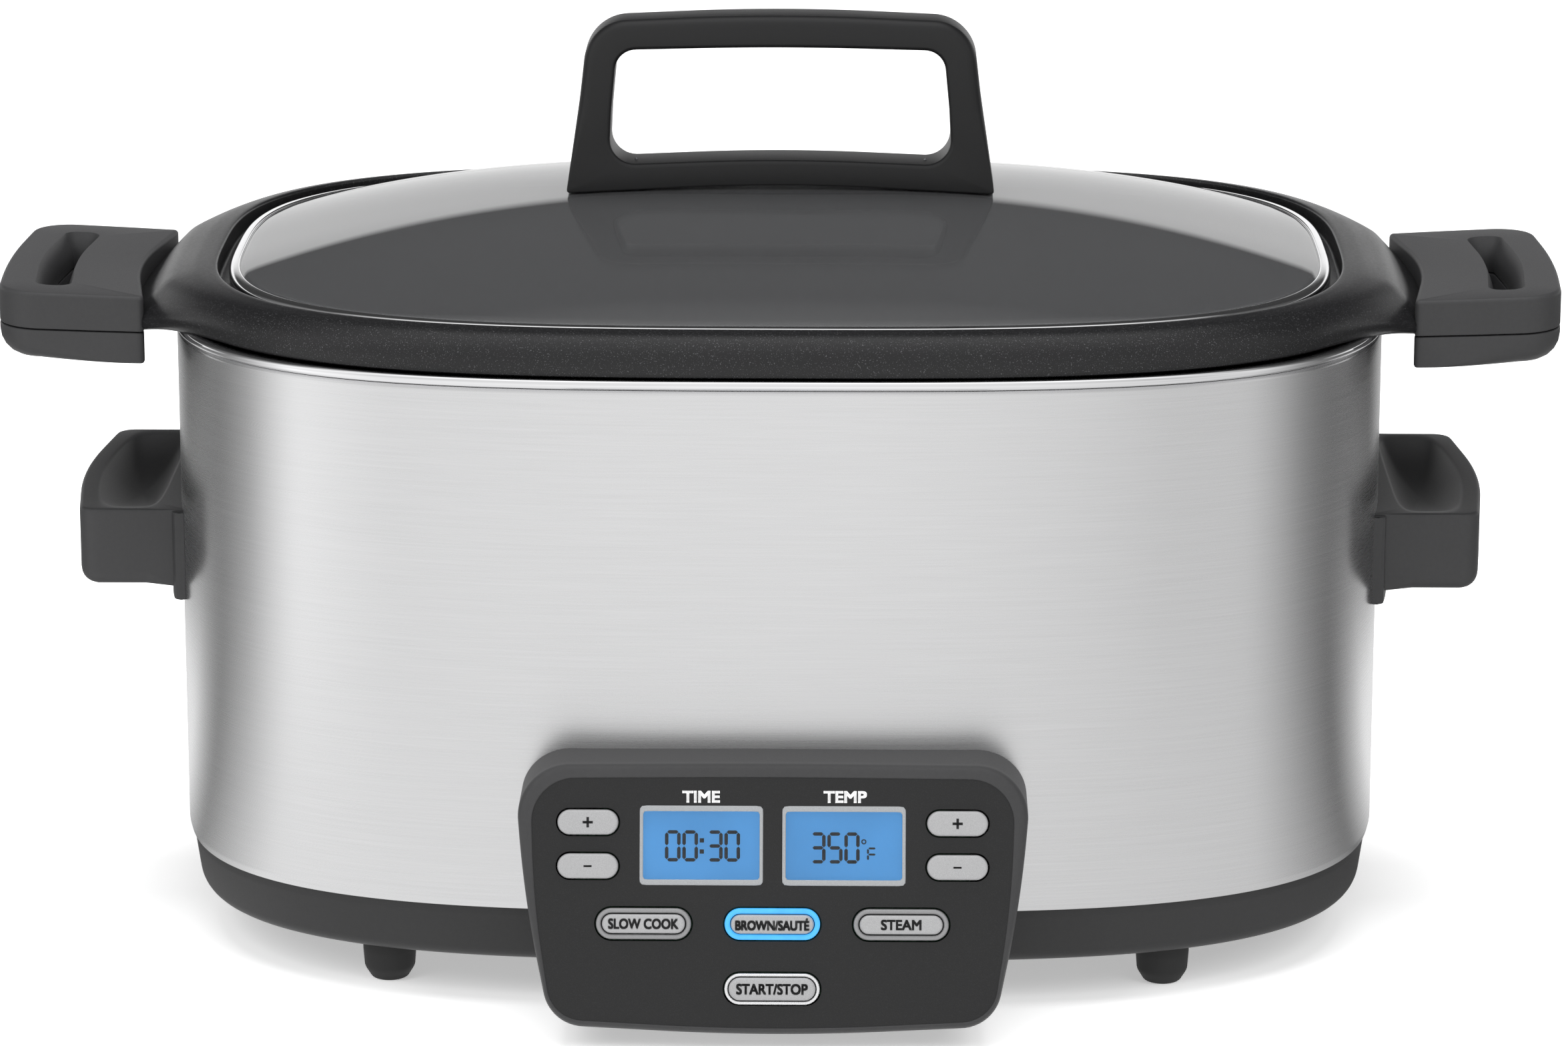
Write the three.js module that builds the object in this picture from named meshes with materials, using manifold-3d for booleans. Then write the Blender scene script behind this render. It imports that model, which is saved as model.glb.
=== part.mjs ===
// Oval countertop slow cooker: steel housing, lift-out pot, glass lid and a push-button panel.
// Millimetres, +Z up. X runs along the oval, the panel faces -Y, and the feet stand on Z = 0.
import * as THREE from "three";
import { mergeVertices } from "three/addons/utils/BufferGeometryUtils.js";
import Module from "manifold-3d";

const wasm = await Module();
wasm.setup();

// ---- Clearances -------------------------------------------------------------------------
const GAP = 0.3; // between two pieces that touch
const SLIDE_GAP = 0.35; // around a piece that slides
const THROUGH = 5; // how far a cutting tool runs past the face it cuts

// ---- Housing ----------------------------------------------------------------------------
const BODY_HALF_WIDTH = 182;
const BODY_HALF_DEPTH = 130.3;
const BODY_POWER = 3.2; // exponent of the housing's superellipse outline
const SHELL_HEIGHT = 156.5;
const SHELL_WALL = 1;
const FOOT_HEIGHT = 12.8;
const SKIRT_HEIGHT = 16.7; // the part of the base that shows under the shell
const BASE_WALL = 2.5;
const BASE_INSET = 1.5; // the base's wall stands this far inside the shell's outline
const BASE_OVERLAP = 5; // the base's wall runs this far up inside the shell
const BASE_ROUND = 9; // rounding of the base's lower edge
const TRIM_HEIGHT = 2.7;
const TRIM_PROUD = 0.9;
const WELL_INSET = 14; // from the shell's outline to the well's inner face
const WELL_WALL = 1;
const WELL_FLOOR = 60;
const WELL_ROUND = 12;
const SHIELD_INSET = 8;
const SHIELD_WALL = 0.8;
const SHIELD_FLOOR = 45;
const SHIELD_HEIGHT = 105;

// ---- Fasteners --------------------------------------------------------------------------
const SCREW_RADIUS = 2;
const SCREW_HEAD_RADIUS = 4;
const SCREW_HEAD_HEIGHT = 2.4;
const BOSS_RADIUS = 7;
const STUD_RADIUS = 5;

// ---- Feet and base fixings --------------------------------------------------------------
const FOOT_RADIUS = 7.9;
const FOOT_STEM_RADIUS = 2.8;
const FOOT_STEM = 6;
const FOOT_INSET_X = 67; // from the end of the oval to the foot's middle
const FOOT_INSET_Y = 30.3;
const BOSS_INSET_X = 82;
const BOSS_INSET_Y = 72;

// ---- Side handles -----------------------------------------------------------------------
const GRIP_REACH = 30; // past the shell
const GRIP_HALF_DEPTH = 51;
const GRIP_HEIGHT = 24;
const GRIP_DROP = 56.1; // from the shell's top edge down to the grip's top
const GRIP_POWER = 2.6;
const GRIP_ROUND = 1.6;
const SCOOP_REACH = 15.5; // from the shell to the scoop's middle
const SCOOP_HALF_WIDTH = 10.3;
const SCOOP_HALF_DEPTH = 42;
const SCOOP_DEPTH = 16.5;
const FLANGE_THICKNESS = 3.2;
const FLANGE_HALF_DEPTH = 53.5;
const FLANGE_DROP = 3.5; // how far the flange hangs below the grip
const GRIP_SCREW_Y = 36;
const GRIP_SCREW_DROP = 12.5; // below the grip's top
const GRIP_SCREW_LENGTH = 9;

// ---- Heater, sensor and electrics -------------------------------------------------------
const ELEMENT_RADIUS = 4;
const ELEMENT_INSET = 62; // from the shell's outline to the tube's middle
const ELEMENT_CLEAR = 3; // between the tube and the well's floor
const TERMINAL_X = 14;
const TERMINAL_DROP = 11; // below the well's floor
const SENSOR_CAP_RADIUS = 11;
const SENSOR_CAP_HEIGHT = 3;
const SENSOR_STEM_RADIUS = 3.5;
const SENSOR_SLEEVE_RADIUS = 9;
const SENSOR_SLEEVE = 7;
const SPRING_WIRE = 0.9;
const SPRING_RADIUS = 5.4;
const SPRING_TURNS = 4;
const FUSE_RADIUS = 4.5;
const FUSE_LENGTH = 18;
const FUSE_X = 60;
const POWER_BOARD = { x: -53, y: 0, width: 72, depth: 90, thickness: 1.6, lift: 6 };
const GLAND_X = -70;
const GLAND_RADIUS = 5.4;
const GLAND_FLANGE = 1.8;
const GLAND_PROUD = 2.6; // how far it stands out of the base's wall
const GLAND_BORE = 3.5;

// ---- Control panel ----------------------------------------------------------------------
const PANEL_LENGTH = 77.8; // up the sloping face
const PANEL_TILT = THREE.MathUtils.degToRad(15.66); // from the vertical, leaning back
const PANEL_LIFT = 5.9; // lower edge above the table
const PANEL_REACH = 37.7; // lower edge in front of the shell
const BEZEL = { lowHalf: 64.5, highHalf: 75, low: 0, high: PANEL_LENGTH, lowRound: 11, highRound: 17 };
const BEZEL_SAG = 2.4; // the lower edge rises this much from its middle to its corners
const FASCIA_INSET = { low: 2.1, high: 4.5, lowSide: 1.1, highSide: 5.1, round: 3 };
const FASCIA_THICKNESS = 2;
const FASCIA_SUNK = 0.4;
const PANEL_LEDGE = 2; // width of the step that the fascia rests on
const WINDOW = { width: 34.8, height: 22.2, x: 20.5, y: 54.2, round: 1.2 };
const DISPLAY_THICKNESS = 3.6;
const DISPLAY_OVERLAP = 1.6;
const BUTTON_TRAVEL = 1.2;
const BUTTON_PROUD = 1.4; // above the bezel's plane
const BUTTON_COLLAR = 1.2;
const BUTTON_COLLAR_THICKNESS = 1.5;
const BUTTON_STEM = 2;
const ADJUST_BUTTON = { width: 17.5, height: 7.2, x: 53.1, rows: [60.8, 48.2] };
const RING = { width: 27.4, height: 9, proud: 0.3, wall: 1.75 };
const FUNCTION_X = 37;
const FUNCTION_Y = 31.7;
const START_Y = 13.1;
const START_RING_WALL = 1.2;
const BOARD_THICKNESS = 1.6;
const SWITCH_SIZE = 5;
const SWITCH_HEIGHT = 1.2;
const BOARD_HALF_WIDTH = 57;
const BOARD_CORNER = 9;
const BOARD_MARGIN = 8.5; // from the fascia's ends to the control board's
const PANEL_BOSS = { x: 62.6, rise: 46.1, radius: 4.6, length: 16 }; // rise above the panel's lower edge
const CABLE = { x: -32, width: 24, thickness: 1.2, rise: 1.9, bend: 6 }; // rise above the base's wall
const CABLE_SLOT_HEIGHT = 8;

// ---- Cooking pot ------------------------------------------------------------------------
const POT_POWER = 3.08;
const POT_WALL = 3;
const POT_INSET = 22; // from the shell's outline to the pot's outer wall under its rim
const POT_TAPER = 8; // how much narrower the pot is at its floor
const POT_CLEAR_FLOOR = 22; // from the well's floor to the pot's underside
const POT_ROUND = 13;
const RIM_HEIGHT = 12.4;
const RIM_EDGE_INSET = 0.9;
const CREST_INSET = 10.4; // from the shell's outline to the rim's highest line
const CREST_WIDTH = 1.6; // from the highest line to the rim's inner edge
const LEDGE_WIDTH = 8; // the step that carries the lid
const LEDGE_DROP = 6;
const WING_HALF_DEPTH = 60;
const TONGUE_HALF_DEPTH = 40;
const TONGUE_THICKNESS = 4;

// ---- Pot handles ------------------------------------------------------------------------
const HOLD_INNER = 7.5; // inner corners, past the shell
const HOLD_REACH = 54; // outer edge's middle, past the shell
const HOLD_HALF_DEPTH = 50;
const HOLD_HOLLOW = 5.5; // the inner edge curves back by this much
const HOLD_CROWN = 2.5; // the outer edge bulges by this much
const HOLD_CORNER = 13;
const HOLD_UPPER = 10.8;
const HOLD_LOWER = 9.4;
const HOLD_DROP = 6.8; // from the rim's highest line down to the handle's top
const HOLD_EDGE = 1;
const SLOT_WIDTH = 6.5;
const SLOT_HALF_LENGTH = 38;
const SLOT_MARGIN = 14; // from the outer edge to the slot's middle
const HOLD_SCREW_X = 23; // past the shell
const HOLD_SCREW_LENGTH = 13;

// ---- Lid --------------------------------------------------------------------------------
const LID_GAP = 3.4; // between the lid's band and the pot's crest
const BAND_WIDTH = 3.2;
const BAND_HEIGHT = 4.8;
const GLASS_SUNK = 0.4; // the glass's edge below the band's top
const GLASS_THICKNESS = 3.2;
const DOME_RISE = 21.1;
const DOME_POWER = 2.5;
const DOME_STEPS = 5;
const ARCH_HALF_WIDTH = 65;
const ARCH_TOP_HALF_WIDTH = 58.5;
const ARCH_HEIGHT = 53.2; // above the dome's top
const ARCH_THICKNESS = 18;
const ARCH_CORNER = 12;
const ARCH_CROWN = 2;
const ARCH_LEG = 9.8;
const ARCH_BAR = 10;
const ARCH_FOOT = 7.6;
const ARCH_LIFT = 1; // between the arch and the glass
const ARCH_ROUND = 2;
const LID_SCREW_X = 44;
const GASKET_RADIUS = 7.5;
const GASKET_THICKNESS = 2.2;

// ---- Faceting ---------------------------------------------------------------------------
const OVAL_SEGMENTS = 40;
const ROUND_SEGMENTS = 12;
const SCREW_SEGMENTS = 8;
const CURVE_STEPS = 3; // steps along each curve of an outline
const LONG_CURVE_STEPS = 5;

// ---- Heights and lines that several pieces share ------------------------------------------
const baseBottom = FOOT_HEIGHT + GAP;
const shellBottom = baseBottom + SKIRT_HEIGHT + GAP;
const shellTop = shellBottom + SHELL_HEIGHT;
const trimBottom = shellTop + GAP;
const rimBottom = trimBottom + TRIM_HEIGHT + GAP;
const crestTop = rimBottom + RIM_HEIGHT;
const ledgeTop = crestTop - LEDGE_DROP;
const crestInner = BODY_HALF_WIDTH - CREST_INSET - CREST_WIDTH;
const lidHalfWidth = crestInner - LID_GAP;
const bandBottom = ledgeTop + GAP;
const bandTop = bandBottom + BAND_HEIGHT;
const domeTop = bandTop - GLASS_SUNK + DOME_RISE;
const gripTop = shellTop - GRIP_DROP;
const holdTop = crestTop - HOLD_DROP;
const cableZ = shellBottom + BASE_OVERLAP + CABLE.rise;
const panelBossZ = PANEL_LIFT + PANEL_BOSS.rise;
const shellInner = BODY_HALF_WIDTH - SHELL_WALL;
const baseFloorTop = baseBottom + BASE_WALL;
const wellUnderside = WELL_FLOOR - WELL_WALL;
const stretch = BODY_HALF_WIDTH - BODY_HALF_DEPTH;

// ---- Finishes ---------------------------------------------------------------------------
const FINISHES = {
  brushedSteel: { color: 0xc4c5c6, roughness: 0.34, metalness: 1 },
  polishedSteel: { color: 0xe4e5e6, roughness: 0.08, metalness: 1 },
  zincScrew: { color: 0x9a9ea3, roughness: 0.4, metalness: 1 },
  heaterSheath: { color: 0x6d6f72, roughness: 0.55, metalness: 0.9 },
  aluminiumSheet: { color: 0xb4b7ba, roughness: 0.42, metalness: 1 },
  greyPlastic: { color: 0x3a3a3b, roughness: 0.58, metalness: 0 },
  blackPlastic: { color: 0x1c1c1d, roughness: 0.45, metalness: 0 },
  fasciaFilm: { color: 0x101011, roughness: 0.5, metalness: 0 },
  keySilver: { color: 0xc9c9cb, roughness: 0.35, metalness: 0.4 },
  ringGrey: { color: 0x8c8d90, roughness: 0.4, metalness: 0.3 },
  ringBlue: { color: 0x3aa2ee, roughness: 0.3, metalness: 0 },
  displayBlue: { color: 0x5aa3e6, roughness: 0.3, metalness: 0 },
  windowGlass: { color: 0x9fc4ea, roughness: 0.06, metalness: 0 },
  smokedGlass: { color: 0x3b3c3e, roughness: 0.04, metalness: 0 },
  nonStick: { color: 0x2a2a2b, roughness: 0.38, metalness: 0.3 },
  rubber: { color: 0x151515, roughness: 0.85, metalness: 0 },
  circuitBoard: { color: 0x1f5f38, roughness: 0.5, metalness: 0 },
  cableGrey: { color: 0xa7a9ad, roughness: 0.6, metalness: 0 },
};

// ---- Scene graph ------------------------------------------------------------------------
const slowCooker = new THREE.Group();
const cooker = new THREE.Group(); // everything, placed about the oval's middle
slowCooker.add(cooker);

function addPiece(name, geometry, finish, parent = cooker) {
  const mesh = new THREE.Mesh(geometry, new THREE.MeshStandardMaterial(FINISHES[finish]));
  mesh.name = name;
  parent.add(mesh);
  return mesh;
}

// ---- Solids -----------------------------------------------------------------------------
function toSolid(geometry) {
  const bare = geometry.clone();
  bare.deleteAttribute("normal");
  bare.deleteAttribute("uv");
  const merged = mergeVertices(bare, 1e-3);
  const corners = Array.from(merged.index.array);
  const kept = [];
  for (let i = 0; i < corners.length; i += 3) {
    const [a, b, c] = corners.slice(i, i + 3);
    if (a !== b && b !== c && a !== c) kept.push(a, b, c);
  }
  const vertProperties = merged.attributes.position.array;
  return new wasm.Manifold(new wasm.Mesh({ numProp: 3, vertProperties, triVerts: Uint32Array.from(kept) }));
}

function toGeometry(solid) {
  const { vertProperties, triVerts } = solid.getMesh();
  const geometry = new THREE.BufferGeometry();
  geometry.setAttribute("position", new THREE.BufferAttribute(vertProperties, 3));
  geometry.setIndex(new THREE.BufferAttribute(triVerts, 1));
  return geometry;
}

function combine(method, first, others) {
  return toGeometry(others.reduce((made, next) => made[method](toSolid(next)), toSolid(first)));
}

const cut = (geometry, ...tools) => combine("subtract", geometry, tools);
const join = (geometry, ...more) => combine("add", geometry, more);
const overlap = (geometry, ...more) => combine("intersect", geometry, more);

// Half the depth of the oval whose half-width is given. Nested ovals keep an even wall between
// them, so depth follows width; inside the core the oval shrinks evenly towards its middle.
function halfDepthOf(halfWidth) {
  const core = stretch + 45;
  return halfWidth > core ? halfWidth - stretch : (halfWidth * (core - stretch)) / core;
}

const signedPower = (value, power) => Math.sign(value) * Math.abs(value) ** power;

// A lathe turned about Z and then stretched from a circle to a superellipse. The profile lists
// [half-width, z] and either closes on itself or runs from the axis back to the axis.
function ovalSolid(profile, power = BODY_POWER) {
  const open = profile[0][0] === 0;
  const area = profile.reduce((sum, [x, z], i) => {
    const [nextX, nextZ] = profile[(i + 1) % profile.length];
    return sum + x * nextZ - nextX * z;
  }, 0);
  const ordered = area > 0 ? [...profile] : [...profile].reverse();
  if (!open) ordered.push(ordered[0]);
  const points = ordered.map(([x, z]) => new THREE.Vector2(x, z));
  const geometry = new THREE.LatheGeometry(points, OVAL_SEGMENTS);
  const position = geometry.getAttribute("position");
  for (let i = 0; i < position.count; i++) {
    const halfWidth = Math.hypot(position.getX(i), position.getZ(i));
    const angle = Math.atan2(position.getX(i), position.getZ(i));
    const x = halfWidth * signedPower(Math.sin(angle), 2 / power);
    const y = -halfDepthOf(halfWidth) * signedPower(Math.cos(angle), 2 / power);
    position.setXYZ(i, x, y, position.getY(i));
  }
  return toGeometry(toSolid(geometry));
}

const ovalBlock = (halfWidth, low, high, power) =>
  ovalSolid([[0, low], [halfWidth, low], [halfWidth, high], [0, high]], power);

const ovalRing = (inner, outer, low, high, power) =>
  ovalSolid([[inner, low], [outer, low], [outer, high], [inner, high]], power);

// A round solid about an axis through the origin along Z, from [radius, z] points.
function turned(profile, segments = ROUND_SEGMENTS) {
  const points = profile.map(([radius, z]) => new THREE.Vector2(radius, z));
  return toGeometry(toSolid(new THREE.LatheGeometry(points, segments).rotateX(Math.PI / 2)));
}

const rod = (radius, low, high, segments) =>
  turned([[0, low], [radius, low], [radius, high], [0, high]], segments);

function block(xs, ys, zs) {
  const sizes = [xs, ys, zs].map(([low, high]) => high - low);
  const middles = [xs, ys, zs].map(([low, high]) => (low + high) / 2);
  return new THREE.BoxGeometry(...sizes).translate(...middles);
}

// A flat outline given thickness along Z from 0 up, with its edges rounded by `round`.
function plate(shape, thickness, round = 0, curveSegments = CURVE_STEPS) {
  return new THREE.ExtrudeGeometry(shape, {
    depth: thickness - 2 * round,
    curveSegments,
    bevelEnabled: round > 0,
    bevelThickness: round,
    bevelSize: round,
    bevelOffset: -round,
    bevelSegments: 1,
  }).translate(0, 0, round);
}

function superellipseShape(halfX, halfY, power, steps = 28) {
  const points = Array.from({ length: steps }, (_, i) => {
    const angle = (i / steps) * 2 * Math.PI;
    const x = halfX * signedPower(Math.cos(angle), 2 / power);
    return new THREE.Vector2(x, halfY * signedPower(Math.sin(angle), 2 / power));
  });
  return new THREE.Shape(points);
}

function roundedShape(width, height, radius) {
  const [x, y] = [width / 2, height / 2];
  const shape = new THREE.Shape();
  shape.absarc(x - radius, -y + radius, radius, -Math.PI / 2, 0);
  shape.absarc(x - radius, y - radius, radius, 0, Math.PI / 2);
  shape.absarc(-x + radius, y - radius, radius, Math.PI / 2, Math.PI);
  shape.absarc(-x + radius, -y + radius, radius, Math.PI, 1.5 * Math.PI);
  return shape;
}

// A screw along +Z: the head's seat is at Z = 0 and the head hangs below it.
function screw(length) {
  const slope = 0.5;
  return turned([
    [0, -SCREW_HEAD_HEIGHT],
    [SCREW_HEAD_RADIUS - slope, -SCREW_HEAD_HEIGHT],
    [SCREW_HEAD_RADIUS, -SCREW_HEAD_HEIGHT + slope],
    [SCREW_HEAD_RADIUS, 0],
    [SCREW_RADIUS, 0],
    [SCREW_RADIUS, length - SCREW_RADIUS],
    [0, length],
  ], SCREW_SEGMENTS);
}

const screwHole = (low, high) => rod(SCREW_RADIUS + GAP, low, high, SCREW_SEGMENTS);

const SIDES = [["left", -1], ["right", 1]];

// Mirrors a right-hand piece to the side given, keeping its faces outward.
const onSide = (geometry, side) => (side > 0 ? geometry : geometry.clone().rotateZ(Math.PI));

// ---- Housing ----------------------------------------------------------------------------
const footSpots = [[-1, -1], [1, -1], [-1, 1], [1, 1]].map(([sx, sy]) => ({
  name: `${sy < 0 ? "front" : "rear"}_${sx < 0 ? "left" : "right"}`,
  foot: [sx * (BODY_HALF_WIDTH - FOOT_INSET_X), sy * (BODY_HALF_DEPTH - FOOT_INSET_Y)],
  boss: [sx * (BODY_HALF_WIDTH - BOSS_INSET_X), sy * (BODY_HALF_DEPTH - BOSS_INSET_Y)],
}));
const bossTop = SHIELD_FLOOR - GAP;
const bossScrewSeat = bossTop - 9;
const bossScrewLength = wellUnderside - bossScrewSeat - 1.5;
const panelBottomY = -(BODY_HALF_DEPTH + PANEL_REACH);
const gripScrewZ = gripTop - GRIP_SCREW_DROP;

// X of an oval's wall at the given Y, and Y at the given X, for a half-width of the housing.
const wallAt = (along, half, across) => half * (1 - (along / across) ** BODY_POWER) ** (1 / BODY_POWER);
const sideWallX = (y, halfWidth) => wallAt(y, halfWidth, halfDepthOf(halfWidth));
const frontWallY = (x, halfWidth) => -wallAt(x, halfDepthOf(halfWidth), halfWidth);

function outerShell() {
  const wall = ovalRing(shellInner, BODY_HALF_WIDTH, shellBottom, shellTop);
  const gripHoles = SIDES.map(([, side]) =>
    screwHole(BODY_HALF_WIDTH - 20, BODY_HALF_WIDTH + THROUGH)
      .rotateY((side * Math.PI) / 2)
      .translate(0, side * GRIP_SCREW_Y, gripScrewZ));
  const panelHoles = SIDES.map(([, side]) =>
    screwHole(0, BODY_HALF_DEPTH + THROUGH)
      .rotateX(Math.PI / 2)
      .translate(side * PANEL_BOSS.x, 0, panelBossZ));
  const half = CABLE.width / 2 + 2;
  const slot = block(
    [CABLE.x - half, CABLE.x + half],
    [-BODY_HALF_DEPTH - THROUGH, -BODY_HALF_DEPTH / 2],
    [cableZ - 1, cableZ + CABLE_SLOT_HEIGHT],
  );
  return cut(wall, ...gripHoles, ...panelHoles, slot);
}

function trimRing() {
  const inner = BODY_HALF_WIDTH - WELL_INSET + 0.6;
  const outer = BODY_HALF_WIDTH + TRIM_PROUD;
  const top = trimBottom + TRIM_HEIGHT;
  const round = 0.8;
  return ovalSolid([
    [inner, trimBottom],
    [outer - round, trimBottom],
    [outer, trimBottom + round],
    [outer, top - round],
    [outer - round, top],
    [inner, top],
  ]);
}

function heatingWell() {
  const inner = BODY_HALF_WIDTH - WELL_INSET;
  const outer = inner + WELL_WALL;
  const lip = shellInner - GAP;
  const lipTop = shellTop - GAP;
  const lipBottom = lipTop - 1.4;
  const tub = ovalSolid([
    [0, wellUnderside],
    [outer - WELL_ROUND, wellUnderside],
    [outer - WELL_ROUND / 3, wellUnderside + WELL_ROUND / 3],
    [outer, wellUnderside + WELL_ROUND],
    [outer, lipBottom],
    [lip, lipBottom],
    [lip, lipTop],
    [inner, lipTop],
    [inner, wellUnderside + WELL_ROUND],
    [inner - WELL_ROUND / 3, WELL_FLOOR + WELL_ROUND / 3],
    [outer - WELL_ROUND, WELL_FLOOR],
    [0, WELL_FLOOR],
  ]);
  const studBottom = SHIELD_FLOOR + SHIELD_WALL + GAP;
  const studs = footSpots.map(({ boss: [x, y] }) =>
    rod(STUD_RADIUS, studBottom, WELL_FLOOR - 0.3, 10).translate(x, y, 0));
  const threads = footSpots.map(({ boss: [x, y] }) =>
    screwHole(studBottom - THROUGH, wellUnderside - 0.8).translate(x, y, 0));
  const terminals = [-1, 1].map((side) =>
    rod(ELEMENT_RADIUS + GAP, wellUnderside - THROUGH, WELL_FLOOR + THROUGH, 10)
      .translate(side * TERMINAL_X, elementBackY(), 0));
  const sensorHole = rod(SENSOR_STEM_RADIUS + SLIDE_GAP, wellUnderside - THROUGH, WELL_FLOOR + THROUGH);
  return cut(join(tub, ...studs), ...threads, ...terminals, sensorHole);
}

function heatShield() {
  const outer = BODY_HALF_WIDTH - SHIELD_INSET;
  const inner = outer - SHIELD_WALL;
  const round = 4;
  const floor = SHIELD_FLOOR + SHIELD_WALL;
  const top = SHIELD_FLOOR + SHIELD_HEIGHT;
  const tub = ovalSolid([
    [0, SHIELD_FLOOR],
    [outer - round, SHIELD_FLOOR],
    [outer, SHIELD_FLOOR + round],
    [outer, top],
    [inner, top],
    [inner, floor + round],
    [inner - round, floor],
    [0, floor],
  ]);
  const holes = footSpots.map(({ boss: [x, y] }) =>
    screwHole(SHIELD_FLOOR - THROUGH, floor + THROUGH).translate(x, y, 0));
  const sleeve = rod(SENSOR_SLEEVE_RADIUS + GAP, SHIELD_FLOOR - THROUGH, floor + THROUGH);
  return cut(tub, ...holes, sleeve);
}

function basePan() {
  const outer = BODY_HALF_WIDTH - BASE_INSET;
  const inner = outer - BASE_WALL;
  const top = shellBottom + BASE_OVERLAP;
  const pan = ovalSolid([
    [0, baseBottom],
    [outer - 1.6 * BASE_ROUND, baseBottom],
    [outer - 0.8 * BASE_ROUND, baseBottom + 0.15 * BASE_ROUND],
    [outer - 0.3 * BASE_ROUND, baseBottom + 0.5 * BASE_ROUND],
    [outer, baseBottom + BASE_ROUND],
    [outer, top],
    [inner, top],
    [inner, baseFloorTop + 0.9 * BASE_ROUND],
    [inner - 0.4 * BASE_ROUND, baseFloorTop + 0.35 * BASE_ROUND],
    [inner - 1.4 * BASE_ROUND, baseFloorTop],
    [0, baseFloorTop],
  ]);
  const bosses = footSpots.map(({ boss: [x, y] }) =>
    rod(BOSS_RADIUS, baseBottom + 0.5, bossTop, 12).translate(x, y, 0));
  const bores = footSpots.flatMap(({ boss: [x, y] }) => [
    screwHole(baseBottom, bossTop + THROUGH).translate(x, y, 0),
    rod(SCREW_HEAD_RADIUS + GAP, baseBottom - THROUGH, bossScrewSeat, 12).translate(x, y, 0),
  ]);
  const stems = footSpots.map(({ foot: [x, y] }) =>
    rod(FOOT_STEM_RADIUS + GAP, baseBottom - THROUGH, baseFloorTop + THROUGH, 10).translate(x, y, 0));
  const gland = rod(GLAND_RADIUS + GAP, BODY_HALF_DEPTH / 2, BODY_HALF_DEPTH + THROUGH)
    .rotateX(-Math.PI / 2)
    .translate(GLAND_X, 0, glandZ());
  return cut(join(pan, ...bosses), ...bores, ...stems, gland);
}

function foot() {
  return turned([
    [0, 0],
    [FOOT_RADIUS - 2.7, 0],
    [FOOT_RADIUS - 1.1, 0.8],
    [FOOT_RADIUS - 0.1, 3],
    [FOOT_RADIUS, FOOT_HEIGHT],
    [FOOT_STEM_RADIUS, FOOT_HEIGHT],
    [FOOT_STEM_RADIUS, FOOT_HEIGHT + FOOT_STEM],
    [0, FOOT_HEIGHT + FOOT_STEM],
  ]);
}

// The right-hand grip: a rounded block on a flange that hugs the shell, scooped for fingers.
function sideHandle() {
  const core = BODY_HALF_WIDTH - 10;
  const outline = superellipseShape(GRIP_REACH + 10, GRIP_HALF_DEPTH, GRIP_POWER);
  const grip = plate(outline, GRIP_HEIGHT, GRIP_ROUND).translate(core, 0, gripTop - GRIP_HEIGHT);
  const flangeBottom = gripTop - GRIP_HEIGHT - FLANGE_DROP;
  const flangeTop = gripTop - GRIP_ROUND;
  const band = ovalRing(shellInner, BODY_HALF_WIDTH + FLANGE_THICKNESS, flangeBottom, flangeTop);
  const flange = overlap(band, block(
    [BODY_HALF_WIDTH / 2, BODY_HALF_WIDTH + FLANGE_THICKNESS + THROUGH],
    [-FLANGE_HALF_DEPTH, FLANGE_HALF_DEPTH],
    [flangeBottom, flangeTop],
  ));
  const scoop = new THREE.SphereGeometry(1, 16, 10)
    .scale(SCOOP_HALF_WIDTH, SCOOP_HALF_DEPTH, SCOOP_DEPTH)
    .translate(BODY_HALF_WIDTH + SCOOP_REACH, 0, gripTop);
  const shellSpace = ovalBlock(BODY_HALF_WIDTH + GAP, flangeBottom - THROUGH, gripTop + THROUGH);
  const seat = sideWallX(GRIP_SCREW_Y, BODY_HALF_WIDTH);
  const thread = screwHole(seat - THROUGH, seat + GRIP_SCREW_LENGTH)
    .rotateY(Math.PI / 2)
    .translate(0, GRIP_SCREW_Y, gripScrewZ);
  return cut(join(grip, flange), scoop, shellSpace, thread);
}

// Seated against the shell's inner face and driven outward into the right-hand grip.
function sideHandleScrew() {
  const seat = sideWallX(GRIP_SCREW_Y + SCREW_HEAD_RADIUS, shellInner) - GAP;
  return screw(GRIP_SCREW_LENGTH).rotateY(Math.PI / 2).translate(seat, GRIP_SCREW_Y, gripScrewZ);
}

function addHousing() {
  addPiece("outer_shell", outerShell(), "brushedSteel");
  addPiece("trim_ring", trimRing(), "polishedSteel");
  addPiece("heating_well", heatingWell(), "aluminiumSheet");
  addPiece("heat_shield", heatShield(), "aluminiumSheet");
  addPiece("base_pan", basePan(), "greyPlastic");
  for (const { name, foot: [x, y], boss } of footSpots) {
    addPiece(`foot_${name}`, foot(), "rubber").position.set(x, y, 0);
    const fixing = addPiece(`base_screw_${name}`, screw(bossScrewLength), "zincScrew");
    fixing.position.set(...boss, bossScrewSeat - GAP);
  }
  for (const [name, side] of SIDES) {
    addPiece(`side_handle_${name}`, onSide(sideHandle(), side), "greyPlastic");
    addPiece(`side_handle_screw_${name}`, onSide(sideHandleScrew(), side), "zincScrew");
  }
}

// ---- Heater, sensor and electrics -------------------------------------------------------
const elementHalfWidth = () => BODY_HALF_WIDTH - ELEMENT_INSET;
const elementBackY = () => halfDepthOf(elementHalfWidth());
const glandZ = () => baseBottom + BASE_ROUND;

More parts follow.
